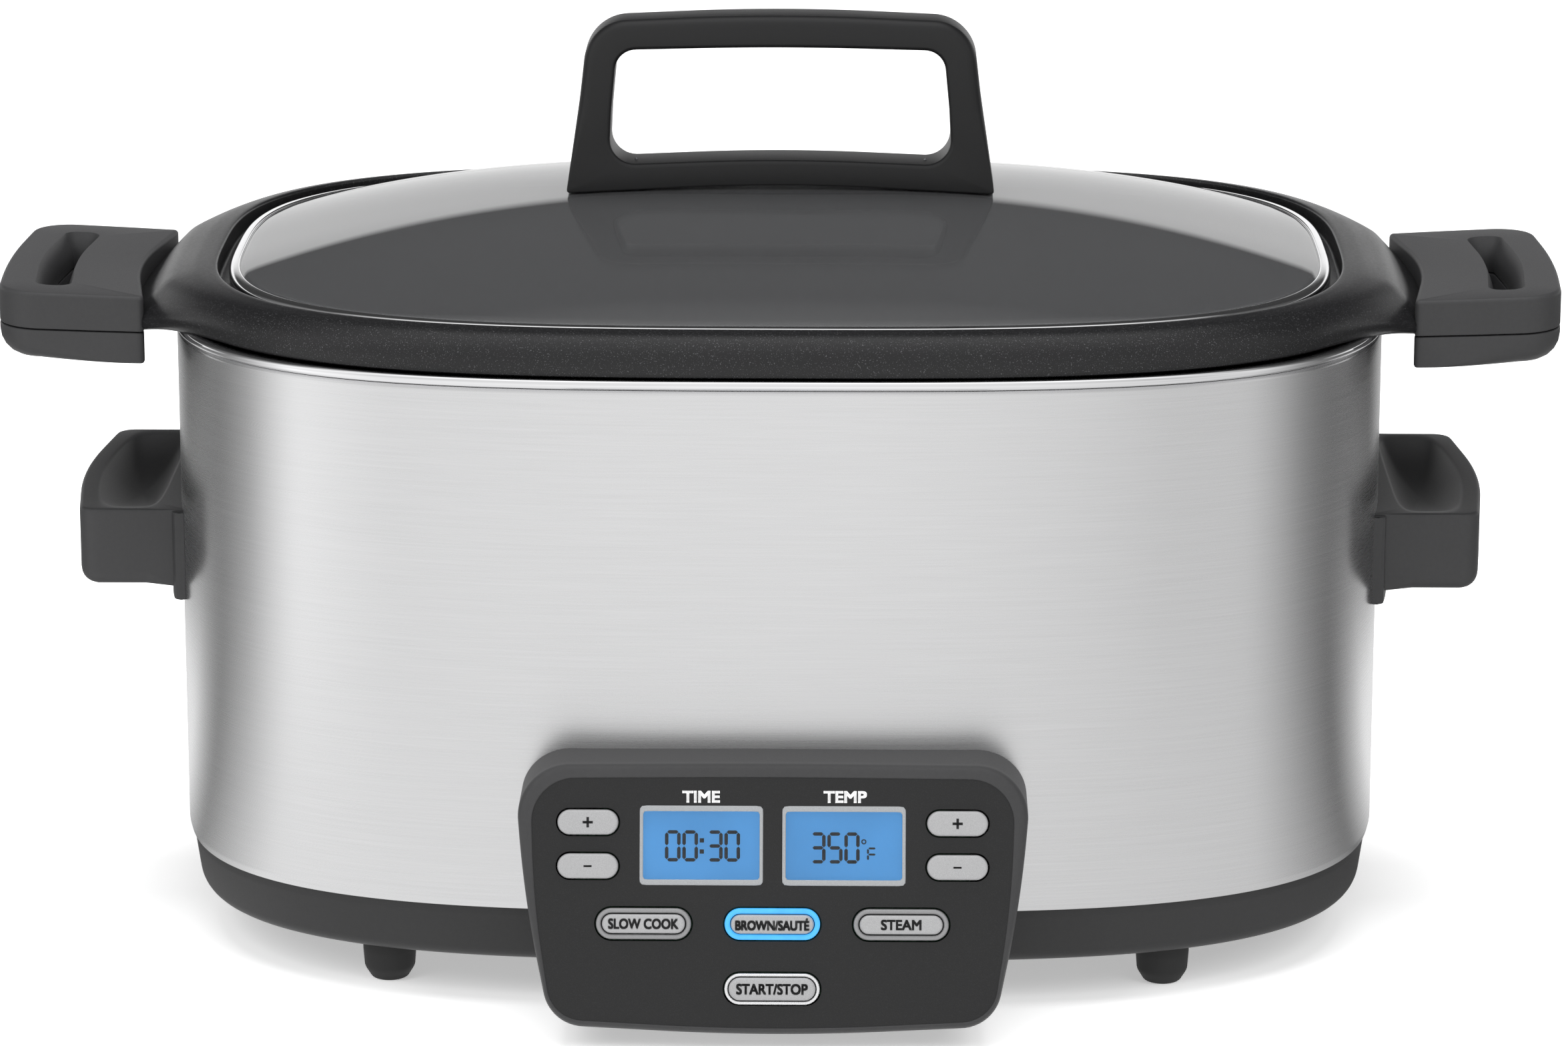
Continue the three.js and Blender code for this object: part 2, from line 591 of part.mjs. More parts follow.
// The sheathed tube runs round the well in an oval, open at the back between its terminals.
function heatingElement() {
  const middleZ = WELL_FLOOR + ELEMENT_CLEAR + ELEMENT_RADIUS;
  const section = Array.from({ length: 8 }, (_, i) => {
    const angle = (i / 8) * 2 * Math.PI;
    return [
      elementHalfWidth() + ELEMENT_RADIUS * Math.cos(angle),
      middleZ + ELEMENT_RADIUS * Math.sin(angle),
    ];
  });
  const loop = ovalSolid(section);
  const opening = block(
    [-TERMINAL_X, TERMINAL_X],
    [elementBackY() - 4 * ELEMENT_RADIUS, elementBackY() + 4 * ELEMENT_RADIUS],
    [WELL_FLOOR, middleZ + 2 * ELEMENT_RADIUS],
  );
  const terminals = [-1, 1].map((side) =>
    rod(ELEMENT_RADIUS, wellUnderside - TERMINAL_DROP, middleZ, 10)
      .translate(side * TERMINAL_X, elementBackY(), 0));
  return join(cut(loop, opening), ...terminals);
}

const sleeveTop = wellUnderside - GAP;
const sleeveBottom = SHIELD_FLOOR - SENSOR_SLEEVE;
const sleeveFloor = sleeveBottom + 1.5;
const springTop = sleeveTop - 4;

// A cup under the well that guides the sensor's stem and holds its spring.
function sensorSleeve() {
  const bore = SENSOR_SLEEVE_RADIUS - 1.5;
  return turned([
    [SENSOR_STEM_RADIUS + SLIDE_GAP, sleeveBottom],
    [SENSOR_SLEEVE_RADIUS, sleeveBottom],
    [SENSOR_SLEEVE_RADIUS, sleeveTop - 1.5],
    [SENSOR_SLEEVE_RADIUS + 5, sleeveTop - 1.5],
    [SENSOR_SLEEVE_RADIUS + 5, sleeveTop],
    [bore, sleeveTop],
    [bore, sleeveFloor],
    [SENSOR_STEM_RADIUS + SLIDE_GAP, sleeveFloor],
    [SENSOR_STEM_RADIUS + SLIDE_GAP, sleeveBottom],
  ]);
}

// The cap meets the pot's underside; a collar on the stem sits on the spring.
function sensorPlunger() {
  const capTop = WELL_FLOOR + POT_CLEAR_FLOOR - GAP;
  const capBottom = capTop - SENSOR_CAP_HEIGHT;
  const stemBottom = sleeveBottom - 4;
  const collar = SPRING_RADIUS + 0.9;
  return turned([
    [0, stemBottom],
    [SENSOR_STEM_RADIUS, stemBottom],
    [SENSOR_STEM_RADIUS, springTop],
    [collar, springTop],
    [collar, springTop + 1.2],
    [SENSOR_STEM_RADIUS, springTop + 1.2],
    [SENSOR_STEM_RADIUS, capBottom],
    [SENSOR_CAP_RADIUS, capBottom],
    [SENSOR_CAP_RADIUS, capTop - 0.8],
    [SENSOR_CAP_RADIUS - 0.8, capTop],
    [0, capTop],
  ]);
}

class Helix extends THREE.Curve {
  constructor(radius, low, high, turns) {
    super();
    Object.assign(this, { radius, low, high, turns });
  }

  getPoint(t, target = new THREE.Vector3()) {
    const angle = t * this.turns * 2 * Math.PI;
    const z = this.low + t * (this.high - this.low);
    return target.set(this.radius * Math.cos(angle), this.radius * Math.sin(angle), z);
  }
}

function sensorSpring() {
  const margin = SPRING_WIRE + GAP;
  const path = new Helix(SPRING_RADIUS, sleeveFloor + margin, springTop - margin, SPRING_TURNS);
  const wire = new THREE.Shape().absarc(0, 0, SPRING_WIRE, 0, 2 * Math.PI);
  return new THREE.ExtrudeGeometry(wire, {
    steps: SPRING_TURNS * 10,
    curveSegments: CURVE_STEPS,
    extrudePath: path,
  });
}

// A thermal fuse in its saddle, flat against the underside of the well.
function thermalFuse() {
  const top = wellUnderside - GAP;
  const body = rod(FUSE_RADIUS, -FUSE_LENGTH / 2, FUSE_LENGTH / 2, 10)
    .rotateX(Math.PI / 2)
    .translate(0, 0, top - FUSE_RADIUS);
  const half = FUSE_RADIUS + 3;
  return join(body, block([-half, half], [-3, 3], [top - 1.2, top])).translate(FUSE_X, 0, 0);
}

function powerBoard() {
  const { x, y, width, depth, thickness, lift } = POWER_BOARD;
  const bottom = baseFloorTop + lift;
  const top = bottom + thickness;
  const sheet = block([x - width / 2, x + width / 2], [y - depth / 2, y + depth / 2], [bottom, top]);
  const relay = block([x - 30, x - 12], [y - 12, y + 14], [bottom + 0.5, top + 15]);
  const transformer = block([x - 6, x + 26], [y - 18, y + 12], [bottom + 0.5, top + 16]);
  const capacitor = rod(6, bottom + 0.5, top + 14, 10).translate(x + 20, y + 30, 0);
  const posts = [-1, 1].flatMap((sx) => [-1, 1].map((sy) =>
    rod(2.5, baseFloorTop + GAP, bottom + 0.5, 8)
      .translate(x + sx * (width / 2 - 6), y + sy * (depth / 2 - 6), 0)));
  return join(sheet, relay, transformer, capacitor, ...posts);
}

// A flanged bush in the base's rear wall; the bore is where a supply cord would enter.
function cordGland() {
  const outside = halfDepthOf(BODY_HALF_WIDTH - BASE_INSET);
  return turned([
    [GLAND_BORE, outside - BASE_WALL - 3],
    [GLAND_RADIUS, outside - BASE_WALL - 3],
    [GLAND_RADIUS, outside + GAP],
    [GLAND_RADIUS + GLAND_FLANGE, outside + GAP],
    [GLAND_RADIUS + GLAND_FLANGE, outside + GLAND_PROUD],
    [GLAND_BORE, outside + GLAND_PROUD],
    [GLAND_BORE, outside - BASE_WALL - 3],
  ]).rotateX(-Math.PI / 2).translate(GLAND_X, 0, glandZ());
}

function addElectrics() {
  addPiece("heating_element", heatingElement(), "heaterSheath");
  addPiece("sensor_sleeve", sensorSleeve(), "aluminiumSheet");
  addPiece("sensor_plunger", sensorPlunger(), "aluminiumSheet");
  addPiece("sensor_spring", sensorSpring(), "zincScrew");
  addPiece("thermal_fuse", thermalFuse(), "heaterSheath");
  addPiece("power_board", powerBoard(), "circuitBoard");
  addPiece("cord_gland", cordGland(), "rubber");
}

// ---- Control panel ----------------------------------------------------------------------
// In the panel's own frame X runs across, Y up the sloping face and Z out of it.
const panel = new THREE.Group();
panel.position.set(0, panelBottomY, PANEL_LIFT);
panel.rotation.x = Math.PI / 2 - PANEL_TILT;
panel.updateMatrix();
cooker.add(panel);

const fasciaFront = -FASCIA_SUNK;
const fasciaBack = fasciaFront - FASCIA_THICKNESS;
const collarFront = fasciaBack - GAP;
const stemBack = collarFront - BUTTON_COLLAR_THICKNESS - BUTTON_STEM;
const switchTop = stemBack - BUTTON_TRAVEL - GAP;
const boardFront = switchTop - SWITCH_HEIGHT;

const adjustButtons = SIDES.flatMap(([sideName, side]) =>
  ADJUST_BUTTON.rows.map((y, row) => ({
    name: `${side < 0 ? "time" : "temp"}_${row === 0 ? "plus" : "minus"}`,
    x: side * ADJUST_BUTTON.x,
    y,
    width: ADJUST_BUTTON.width,
    height: ADJUST_BUTTON.height,
  })));

const ringedButtons = [
  { name: "slow_cook", x: -FUNCTION_X, y: FUNCTION_Y, finish: "ringGrey", wall: RING.wall },
  { name: "brown", x: 0, y: FUNCTION_Y, finish: "ringBlue", wall: RING.wall },
  { name: "steam", x: FUNCTION_X, y: FUNCTION_Y, finish: "ringGrey", wall: RING.wall },
  { name: "start", x: 0, y: START_Y, finish: "ringGrey", wall: START_RING_WALL },
].map((button) => ({
  ...button,
  width: RING.width - 2 * button.wall,
  height: RING.height - 2 * button.wall,
}));

// A bar with semicircular ends.
function pill(width, height) {
  const radius = height / 2;
  const shape = new THREE.Shape();
  shape.absarc(width / 2 - radius, 0, radius, -Math.PI / 2, Math.PI / 2);
  shape.absarc(-width / 2 + radius, 0, radius, Math.PI / 2, 1.5 * Math.PI);
  return shape;
}

// A panel outline: straight flared sides, round corners and a lower edge that dips in the middle.
function panelShape({ lowHalf, highHalf, low, high, lowRound, highRound }) {
  const side = (y) => lowHalf + ((highHalf - lowHalf) * y) / PANEL_LENGTH;
  const lowEnd = side(low) - lowRound;
  const highEnd = side(high) - highRound;
  const shape = new THREE.Shape();
  shape.moveTo(0, low);
  shape.quadraticCurveTo(lowEnd / 2, low, lowEnd, low + BEZEL_SAG);
  shape.quadraticCurveTo(side(low), low + 1.6 * BEZEL_SAG, side(low + lowRound), low + lowRound + BEZEL_SAG);
  shape.lineTo(side(high - highRound), high - highRound);
  shape.quadraticCurveTo(side(high), high, highEnd, high);
  shape.lineTo(-highEnd, high);
  shape.quadraticCurveTo(-side(high), high, -side(high - highRound), high - highRound);
  shape.lineTo(-side(low + lowRound), low + lowRound + BEZEL_SAG);
  shape.quadraticCurveTo(-side(low), low + 1.6 * BEZEL_SAG, -lowEnd, low + BEZEL_SAG);
  shape.quadraticCurveTo(-lowEnd / 2, low, 0, low);
  return shape;
}

// The fascia's outline, drawn in from every edge by `inset`.
function fasciaShape(inset) {
  return panelShape({
    lowHalf: BEZEL.lowHalf - FASCIA_INSET.lowSide - inset,
    highHalf: BEZEL.highHalf - FASCIA_INSET.highSide - inset,
    low: FASCIA_INSET.low + inset,
    high: PANEL_LENGTH - FASCIA_INSET.high - inset,
    lowRound: BEZEL.lowRound - FASCIA_INSET.round / 3,
    highRound: BEZEL.highRound - FASCIA_INSET.round,
  });
}

// Carries an outline on the panel's face straight back along Y, between two depths behind it.
function sweptBack(shape, front, back) {
  const [sine, cosine] = [Math.sin(PANEL_TILT), Math.cos(PANEL_TILT)];
  const shear = new THREE.Matrix4().set(
    1, 0, 0, 0,
    0, sine, -1, panelBottomY,
    0, cosine, 0, PANEL_LIFT,
    0, 0, 0, 1,
  );
  return plate(shape, back - front).translate(0, 0, -back).applyMatrix4(shear);
}

// The pod that carries the panel: hollow, open at the back, closed against the shell.
function panelHousing() {
  const back = PANEL_REACH + 30;
  const pod = sweptBack(panelShape(BEZEL), 0, back);
  const recess = plate(fasciaShape(-GAP), THROUGH - fasciaBack + GAP)
    .translate(0, 0, fasciaBack - GAP)
    .applyMatrix4(panel.matrix);
  const cavity = sweptBack(fasciaShape(PANEL_LEDGE), -THROUGH, back + THROUGH);
  const bosses = SIDES.map(([, side]) =>
    rod(PANEL_BOSS.radius, 0, BODY_HALF_DEPTH + PANEL_BOSS.length - 2, 12)
      .rotateX(Math.PI / 2)
      .translate(side * PANEL_BOSS.x, 0, panelBossZ));
  const threads = SIDES.map(([, side]) =>
    screwHole(0, BODY_HALF_DEPTH + PANEL_BOSS.length - 6)
      .rotateX(Math.PI / 2)
      .translate(side * PANEL_BOSS.x, 0, panelBossZ));
  const shellSpace = ovalBlock(BODY_HALF_WIDTH + GAP, -THROUGH, shellTop);
  const open = cut(pod, recess, cavity);
  return cut(join(open, ...bosses.map((boss) => overlap(boss, pod))), ...threads, shellSpace);
}

function panelFascia() {
  const inGroup = (shape, x, y) => plate(shape, FASCIA_THICKNESS + 2 * THROUGH)
    .translate(x, y, fasciaBack - THROUGH);
  const sheet = plate(fasciaShape(0), FASCIA_THICKNESS).translate(0, 0, fasciaBack);
  const windows = [-1, 1].map((side) => inGroup(
    roundedShape(WINDOW.width + 2 * GAP, WINDOW.height + 2 * GAP, WINDOW.round + GAP),
    side * WINDOW.x, WINDOW.y));
  const adjust = adjustButtons.map(({ x, y, width, height }) =>
    inGroup(pill(width + 2 * SLIDE_GAP, height + 2 * SLIDE_GAP), x, y));
  const ringed = ringedButtons.map(({ x, y }) =>
    inGroup(pill(RING.width + 2 * GAP, RING.height + 2 * GAP), x, y));
  return cut(sheet, ...windows, ...adjust, ...ringed);
}

function button({ width, height }) {
  const cap = plate(pill(width, height), BUTTON_PROUD - collarFront + 0.5, 0.5)
    .translate(0, 0, collarFront - 0.5);
  const collar = plate(pill(width + 2 * BUTTON_COLLAR, height + 2 * BUTTON_COLLAR), BUTTON_COLLAR_THICKNESS)
    .translate(0, 0, collarFront - BUTTON_COLLAR_THICKNESS);
  const stem = block([-2, 2], [-1.5, 1.5], [stemBack, collarFront - 0.5]);
  return join(cap, collar, stem);
}

function buttonRing({ width, height }) {
  const shape = pill(RING.width, RING.height);
  shape.holes.push(pill(width + 2 * SLIDE_GAP, height + 2 * SLIDE_GAP));
  return plate(shape, RING.proud - fasciaBack).translate(0, 0, fasciaBack);
}

function controlBoard() {
  const low = FASCIA_INSET.low + BOARD_MARGIN;
  const high = PANEL_LENGTH - FASCIA_INSET.high - BOARD_MARGIN;
  const sheet = plate(roundedShape(2 * BOARD_HALF_WIDTH, high - low, BOARD_CORNER), BOARD_THICKNESS)
    .translate(0, (low + high) / 2, boardFront - BOARD_THICKNESS);
  const switches = [...adjustButtons, ...ringedButtons].map(({ x, y }) => block(
    [x - SWITCH_SIZE / 2, x + SWITCH_SIZE / 2],
    [y - SWITCH_SIZE / 2, y + SWITCH_SIZE / 2],
    [boardFront - 0.5, switchTop],
  ));
  return join(sheet, ...switches);
}

// A flat cable from the power board out through the shell and up behind the control board.
function displayCable() {
  const { x, width, thickness, bend } = CABLE;
  const z = cableZ;
  const start = POWER_BOARD.y - POWER_BOARD.depth / 2 + 8;
  const plugTop = baseFloorTop + POWER_BOARD.lift + POWER_BOARD.thickness + GAP;
  const boardY = panelBottomY + (boardFront * -1 + BOARD_THICKNESS) / Math.cos(PANEL_TILT)
    + (z - PANEL_LIFT) * Math.tan(PANEL_TILT);
  const side = new THREE.Shape();
  side.moveTo(start, plugTop);
  side.lineTo(start, z - bend);
  side.quadraticCurveTo(start, z + thickness, start - bend, z + thickness);
  side.lineTo(boardY + 2, z + thickness);
  side.lineTo(boardY + 2, z);
  side.lineTo(start - bend, z);
  side.quadraticCurveTo(start - thickness, z, start - thickness, z - bend);
  side.lineTo(start - thickness, plugTop);
  side.closePath();
  return plate(side, width)
    .rotateX(Math.PI / 2)
    .rotateZ(Math.PI / 2)
    .translate(x - width / 2, 0, 0);
}

function addPanel() {
  addPiece("panel_housing", panelHousing(), "greyPlastic");
  addPiece("panel_fascia", panelFascia(), "fasciaFilm", panel);
  addPiece("control_board", controlBoard(), "circuitBoard", panel);
  addPiece("display_cable", displayCable(), "cableGrey");
  for (const [name, side] of [["time", -1], ["temp", 1]]) {
    const { width, height, x, y, round } = WINDOW;
    const lens = plate(roundedShape(width, height, round), FASCIA_THICKNESS)
      .translate(0, 0, fasciaBack);
    addPiece(`${name}_window`, lens, "windowGlass", panel).position.set(side * x, y, 0);
    const module = plate(
      roundedShape(width + 2 * DISPLAY_OVERLAP, height + 2 * DISPLAY_OVERLAP, round),
      DISPLAY_THICKNESS,
    ).translate(0, 0, collarFront - DISPLAY_THICKNESS);
    addPiece(`${name}_display`, module, "displayBlue", panel).position.set(side * x, y, 0);
  }
  for (const spec of adjustButtons)
    addPiece(`${spec.name}_button`, button(spec), "keySilver", panel).position.set(spec.x, spec.y, 0);
  for (const spec of ringedButtons) {
    addPiece(`${spec.name}_button`, button(spec), "keySilver", panel).position.set(spec.x, spec.y, 0);
    addPiece(`${spec.name}_ring`, buttonRing(spec), spec.finish, panel).position.set(spec.x, spec.y, 0);
  }
  for (const [name, side] of SIDES) {
    const seat = frontWallY(PANEL_BOSS.x + SCREW_HEAD_RADIUS, shellInner) + GAP;
    const fixing = addPiece(`panel_screw_${name}`, screw(PANEL_BOSS.length - 6), "zincScrew");
    fixing.rotation.x = Math.PI / 2;
    fixing.position.set(side * PANEL_BOSS.x, seat, panelBossZ);
  }
}

// ---- Cooking pot ------------------------------------------------------------------------
const tongueBottom = holdTop - HOLD_UPPER - TONGUE_THICKNESS / 2;
const potScrewX = BODY_HALF_WIDTH + HOLD_SCREW_X;

// The web that joins the rim to a handle, on the right, grown all over by `margin`: thick beside
// the rim and a flat tongue inside the handle.
function wing(margin) {
  const [low, high] = [tongueBottom - margin, tongueBottom + TONGUE_THICKNESS + margin];
  const start = BODY_HALF_WIDTH - 8;
  const neck = BODY_HALF_WIDTH + HOLD_INNER;
  const end = potScrewX + 8 + margin;
  const side = new THREE.Shape();
  side.moveTo(start, rimBottom + 0.2);
  side.lineTo(BODY_HALF_WIDTH + TRIM_PROUD + 1, rimBottom + 0.2);
  side.lineTo(neck, low);
  side.lineTo(end, low);
  side.lineTo(end, high);
  side.lineTo(neck + 6.4 + margin, high);
  side.lineTo(neck + 2 + margin, high + 5);
  side.lineTo(BODY_HALF_WIDTH + 2, crestTop - 3.6 + margin);
  side.lineTo(start, crestTop - 2);
  side.closePath();
  const slab = plate(side, 2 * WING_HALF_DEPTH + 2 * margin)
    .rotateX(Math.PI / 2)
    .translate(0, WING_HALF_DEPTH + margin, 0);
  const [wide, narrow] = [WING_HALF_DEPTH + margin, TONGUE_HALF_DEPTH + margin];
  const plan = new THREE.Shape();
  plan.moveTo(start, -wide);
  plan.quadraticCurveTo(neck - 3, -narrow - 4, neck + 2, -narrow);
  plan.lineTo(end, -narrow);
  plan.lineTo(end, narrow);
  plan.lineTo(neck + 2, narrow);
  plan.quadraticCurveTo(neck - 3, narrow + 4, start, wide);
  plan.closePath();
  const height = crestTop - tongueBottom + 20;
  return overlap(slab, plate(plan, height).translate(0, 0, tongueBottom - 10));
}

function cookingPot() {
  const wallTop = BODY_HALF_WIDTH - POT_INSET;
  const wallLow = wallTop - POT_TAPER;
  const edge = BODY_HALF_WIDTH - RIM_EDGE_INSET;
  const crest = BODY_HALF_WIDTH - CREST_INSET;
  const ledge = crestInner - LEDGE_WIDTH;
  const bottom = WELL_FLOOR + POT_CLEAR_FLOOR;
  const floor = bottom + POT_WALL;
  const vessel = ovalSolid([
    [0, bottom],
    [wallLow - POT_ROUND, bottom],
    [wallLow - 0.3 * POT_ROUND, bottom + 0.3 * POT_ROUND],
    [wallLow, bottom + POT_ROUND],
    [wallTop, rimBottom - 6],
    [wallTop + 4, rimBottom],
    [edge - 1, rimBottom],
    [edge, rimBottom + 1],
    [edge - 0.4, rimBottom + 4.5],
    [edge - 2.6, rimBottom + 8.4],
    [crest + 2.6, crestTop - 0.9],
    [crest, crestTop],
    [crestInner, crestTop - 0.9],
    [crestInner, ledgeTop],
    [ledge, ledgeTop],
    [ledge - 2.4, ledgeTop - 1.2],
    [wallTop - POT_WALL, rimBottom - 6],
    [wallLow - POT_WALL, bottom + POT_ROUND],
    [wallLow - 0.3 * POT_ROUND - POT_WALL, floor + 0.3 * POT_ROUND],
    [wallLow - POT_ROUND, floor],
    [0, floor],
  ], POT_POWER);
  const wings = SIDES.map(([, side]) => onSide(wing(0), side));
  const holes = SIDES.map(([, side]) =>
    screwHole(tongueBottom - THROUGH, tongueBottom + TONGUE_THICKNESS + THROUGH)
      .translate(side * potScrewX, 0, 0));
  const hollow = ovalBlock(crestInner, ledgeTop, crestTop + THROUGH, POT_POWER);
  return cut(join(vessel, ...wings.map((web) => cut(web, hollow))), ...holes);
}

// The handle's outline seen from above, on the right.
function holdShape() {
  const inner = BODY_HALF_WIDTH + HOLD_INNER;
  const outer = BODY_HALF_WIDTH + HOLD_REACH - HOLD_CROWN;
  const half = HOLD_HALF_DEPTH;
  const shape = new THREE.Shape();
  shape.moveTo(inner, -half + 1);
  shape.lineTo(outer - HOLD_CORNER, -half);
  shape.quadraticCurveTo(outer - 1, -half + 1, outer, -half + HOLD_CORNER);
  shape.quadraticCurveTo(outer + 2 * HOLD_CROWN, 0, outer, half - HOLD_CORNER);
  shape.quadraticCurveTo(outer - 1, half - 1, outer - HOLD_CORNER, half);
  shape.lineTo(inner, half - 1);
  shape.quadraticCurveTo(inner + 2 * HOLD_HOLLOW, 0, inner, -half + 1);
  return shape;
}

// The slot follows the handle's outer edge.
function slotShape() {
  const middle = BODY_HALF_WIDTH + HOLD_REACH - SLOT_MARGIN - HOLD_CROWN;
  const [inner, outer] = [middle - SLOT_WIDTH / 2, middle + SLOT_WIDTH / 2];
  const shape = new THREE.Shape();
  shape.moveTo(inner, -SLOT_HALF_LENGTH);
  shape.lineTo(outer, -SLOT_HALF_LENGTH);
  shape.quadraticCurveTo(outer + 2 * HOLD_CROWN, 0, outer, SLOT_HALF_LENGTH);
  shape.lineTo(inner, SLOT_HALF_LENGTH);
  shape.quadraticCurveTo(inner + 2 * HOLD_CROWN, 0, inner, -SLOT_HALF_LENGTH);
  return shape;
}

// One half of the right-hand pot handle, between two heights.
function holdHalf(low, high) {
  const body = plate(holdShape(), high - low, HOLD_EDGE, LONG_CURVE_STEPS).translate(0, 0, low);
  const slot = plate(slotShape(), high - low + 2 * THROUGH, 0, LONG_CURVE_STEPS)
    .translate(0, 0, low - THROUGH);
  return cut(body, slot, wing(GAP));
}

function addPot() {
  const seam = holdTop - HOLD_UPPER;
  const bottom = seam - GAP - HOLD_LOWER;
  const screwSeat = tongueBottom - 4;
  addPiece("cooking_pot", cookingPot(), "nonStick");
  const thread = screwHole(seam - THROUGH, screwSeat + HOLD_SCREW_LENGTH).translate(potScrewX, 0, 0);
  const bore = rod(SCREW_HEAD_RADIUS + GAP, bottom - THROUGH, screwSeat, 12).translate(potScrewX, 0, 0);
  const clearance = screwHole(bottom, seam + THROUGH).translate(potScrewX, 0, 0);
  const upper = cut(holdHalf(seam, holdTop), thread);
  const lower = cut(holdHalf(bottom, seam - GAP), clearance, bore);
  for (const [name, side] of SIDES) {
    addPiece(`pot_handle_${name}_upper`, onSide(upper, side), "greyPlastic");
    addPiece(`pot_handle_${name}_lower`, onSide(lower, side), "greyPlastic");
    const fixing = addPiece(`pot_handle_screw_${name}`, screw(HOLD_SCREW_LENGTH - 1), "zincScrew");
    fixing.position.set(side * potScrewX, 0, screwSeat - GAP);
  }
}

// ---- Lid --------------------------------------------------------------------------------
const glassHalfWidth = lidHalfWidth - BAND_WIDTH / 2 - GAP;
const domeHeight = (share) => bandTop - GLASS_SUNK + DOME_RISE * (1 - share ** DOME_POWER);
const archBottom = domeTop + ARCH_LIFT;
const archTop = domeTop + ARCH_HEIGHT;

// A shallow dome of even thickness; its edge drops into the band's groove.
function lidGlass() {
  const shares = Array.from({ length: DOME_STEPS + 1 }, (_, i) => 1 - (i / DOME_STEPS) ** 1.4);
  const outside = shares.map((share) => [glassHalfWidth * share, domeHeight(share)]);
  const inside = shares
    .map((share) => [(glassHalfWidth - 1.2) * share, domeHeight(share) - GLASS_THICKNESS])
    .reverse();
  const dome = ovalSolid([...inside, ...outside], POT_POWER);
  const holes = [-1, 1].map((side) =>
    screwHole(domeTop - 4 * GLASS_THICKNESS, domeTop + THROUGH).translate(side * LID_SCREW_X, 0, 0));
  return cut(dome, ...holes);
}

// A rolled band round the glass: a lip outside its edge and a shelf under it.
function lidBand() {
  const outer = lidHalfWidth;
  const lip = glassHalfWidth + GAP;
  const shelf = glassHalfWidth - BAND_WIDTH;
  const shelfTop = domeHeight(1) - GLASS_THICKNESS - GAP;
  return ovalSolid([
    [shelf, bandBottom],
    [outer - 0.6, bandBottom],
    [outer, bandBottom + 0.6],
    [outer, bandTop - 0.6],
    [outer - 0.6, bandTop],
    [lip, bandTop],
    [lip, shelfTop],
    [shelf, shelfTop],
  ], POT_POWER);
}

// The arch seen from the front: a bowed bar on two flared legs over a bowed foot.
function archShape() {
  const shape = new THREE.Shape();
  const [foot, top] = [ARCH_HALF_WIDTH, ARCH_TOP_HALF_WIDTH];
  const footDrop = archBottom - footUnderside(foot);
  const shoulder = archTop - ARCH_CROWN;
  const low = archBottom - footDrop;
  shape.moveTo(-foot, low);
  shape.quadraticCurveTo(0, 2 * archBottom - low, foot, low);
  shape.quadraticCurveTo(top + 2.4, low + 22, top + 0.8, shoulder - ARCH_CORNER);
  shape.quadraticCurveTo(top - 0.8, shoulder - 0.5, top - ARCH_CORNER, shoulder);
  shape.quadraticCurveTo(0, archTop + ARCH_CROWN, -top + ARCH_CORNER, shoulder);
  shape.quadraticCurveTo(-top + 0.8, shoulder - 0.5, -top - 0.8, shoulder - ARCH_CORNER);
  shape.quadraticCurveTo(-top - 2.4, low + 22, -foot, low);
  shape.holes.push(archWindow());
  return shape;
}

// Height of the handle's underside over the dome at a distance from the middle.
const footUnderside = (x) => domeHeight(x / glassHalfWidth) + ARCH_LIFT;

function archWindow() {
  const half = ARCH_TOP_HALF_WIDTH - ARCH_LEG + 2.6;
  const low = archBottom + ARCH_FOOT;
  const high = archTop - ARCH_BAR;
  const hole = new THREE.Path();
  hole.moveTo(-half + 13, low - 1);
  hole.quadraticCurveTo(0, low + 1.4, half - 13, low - 1);
  hole.quadraticCurveTo(half + 1, low, half, low + 14);
  hole.lineTo(half - 2, high - 6);
  hole.quadraticCurveTo(half - 2.4, high - 0.5, half - 8, high);
  hole.quadraticCurveTo(0, high + ARCH_CROWN, -half + 8, high);
  hole.quadraticCurveTo(-half + 2.4, high - 0.5, -half + 2, high - 6);
  hole.lineTo(-half, low + 14);
  hole.quadraticCurveTo(-half - 1, low, -half + 13, low - 1);
  return hole;
}

const gasketTop = footUnderside(LID_SCREW_X) + GASKET_THICKNESS - ARCH_LIFT + GAP;

function lidHandle() {
  const arch = plate(archShape(), ARCH_THICKNESS, ARCH_ROUND, LONG_CURVE_STEPS)
    .rotateX(Math.PI / 2)
    .translate(0, ARCH_THICKNESS / 2, 0);
  const seats = [-1, 1].flatMap((side) => [
    rod(GASKET_RADIUS + GAP, archBottom - 3 * THROUGH, gasketTop + GAP).translate(side * LID_SCREW_X, 0, 0),
    screwHole(archBottom - THROUGH, gasketTop + 6).translate(side * LID_SCREW_X, 0, 0),
  ]);
  return cut(arch, ...seats);
}

function addLid() {
  addPiece("lid_glass", lidGlass(), "smokedGlass");
  addPiece("lid_band", lidBand(), "polishedSteel");
  addPiece("lid_handle", lidHandle(), "blackPlastic");
  const washer = turned([
    [SCREW_RADIUS + GAP, 0],
    [GASKET_RADIUS, 0],
    [GASKET_RADIUS, GASKET_THICKNESS],
    [SCREW_RADIUS + GAP, GASKET_THICKNESS],
    [SCREW_RADIUS + GAP, 0],
  ]);
  const underGlass = domeHeight((LID_SCREW_X + SCREW_HEAD_RADIUS) / glassHalfWidth) - GLASS_THICKNESS - GAP;
  for (const [name, side] of SIDES) {
    const gasket = addPiece(`lid_gasket_${name}`, washer.clone(), "rubber");
    gasket.position.set(side * LID_SCREW_X, 0, gasketTop - GASKET_THICKNESS);
    const fixing = addPiece(`lid_screw_${name}`, screw(gasketTop + 5 - underGlass), "zincScrew");
    fixing.position.set(side * LID_SCREW_X, 0, underGlass);
  }
}

addHousing();
addElectrics();
addPanel();
addPot();
addLid();

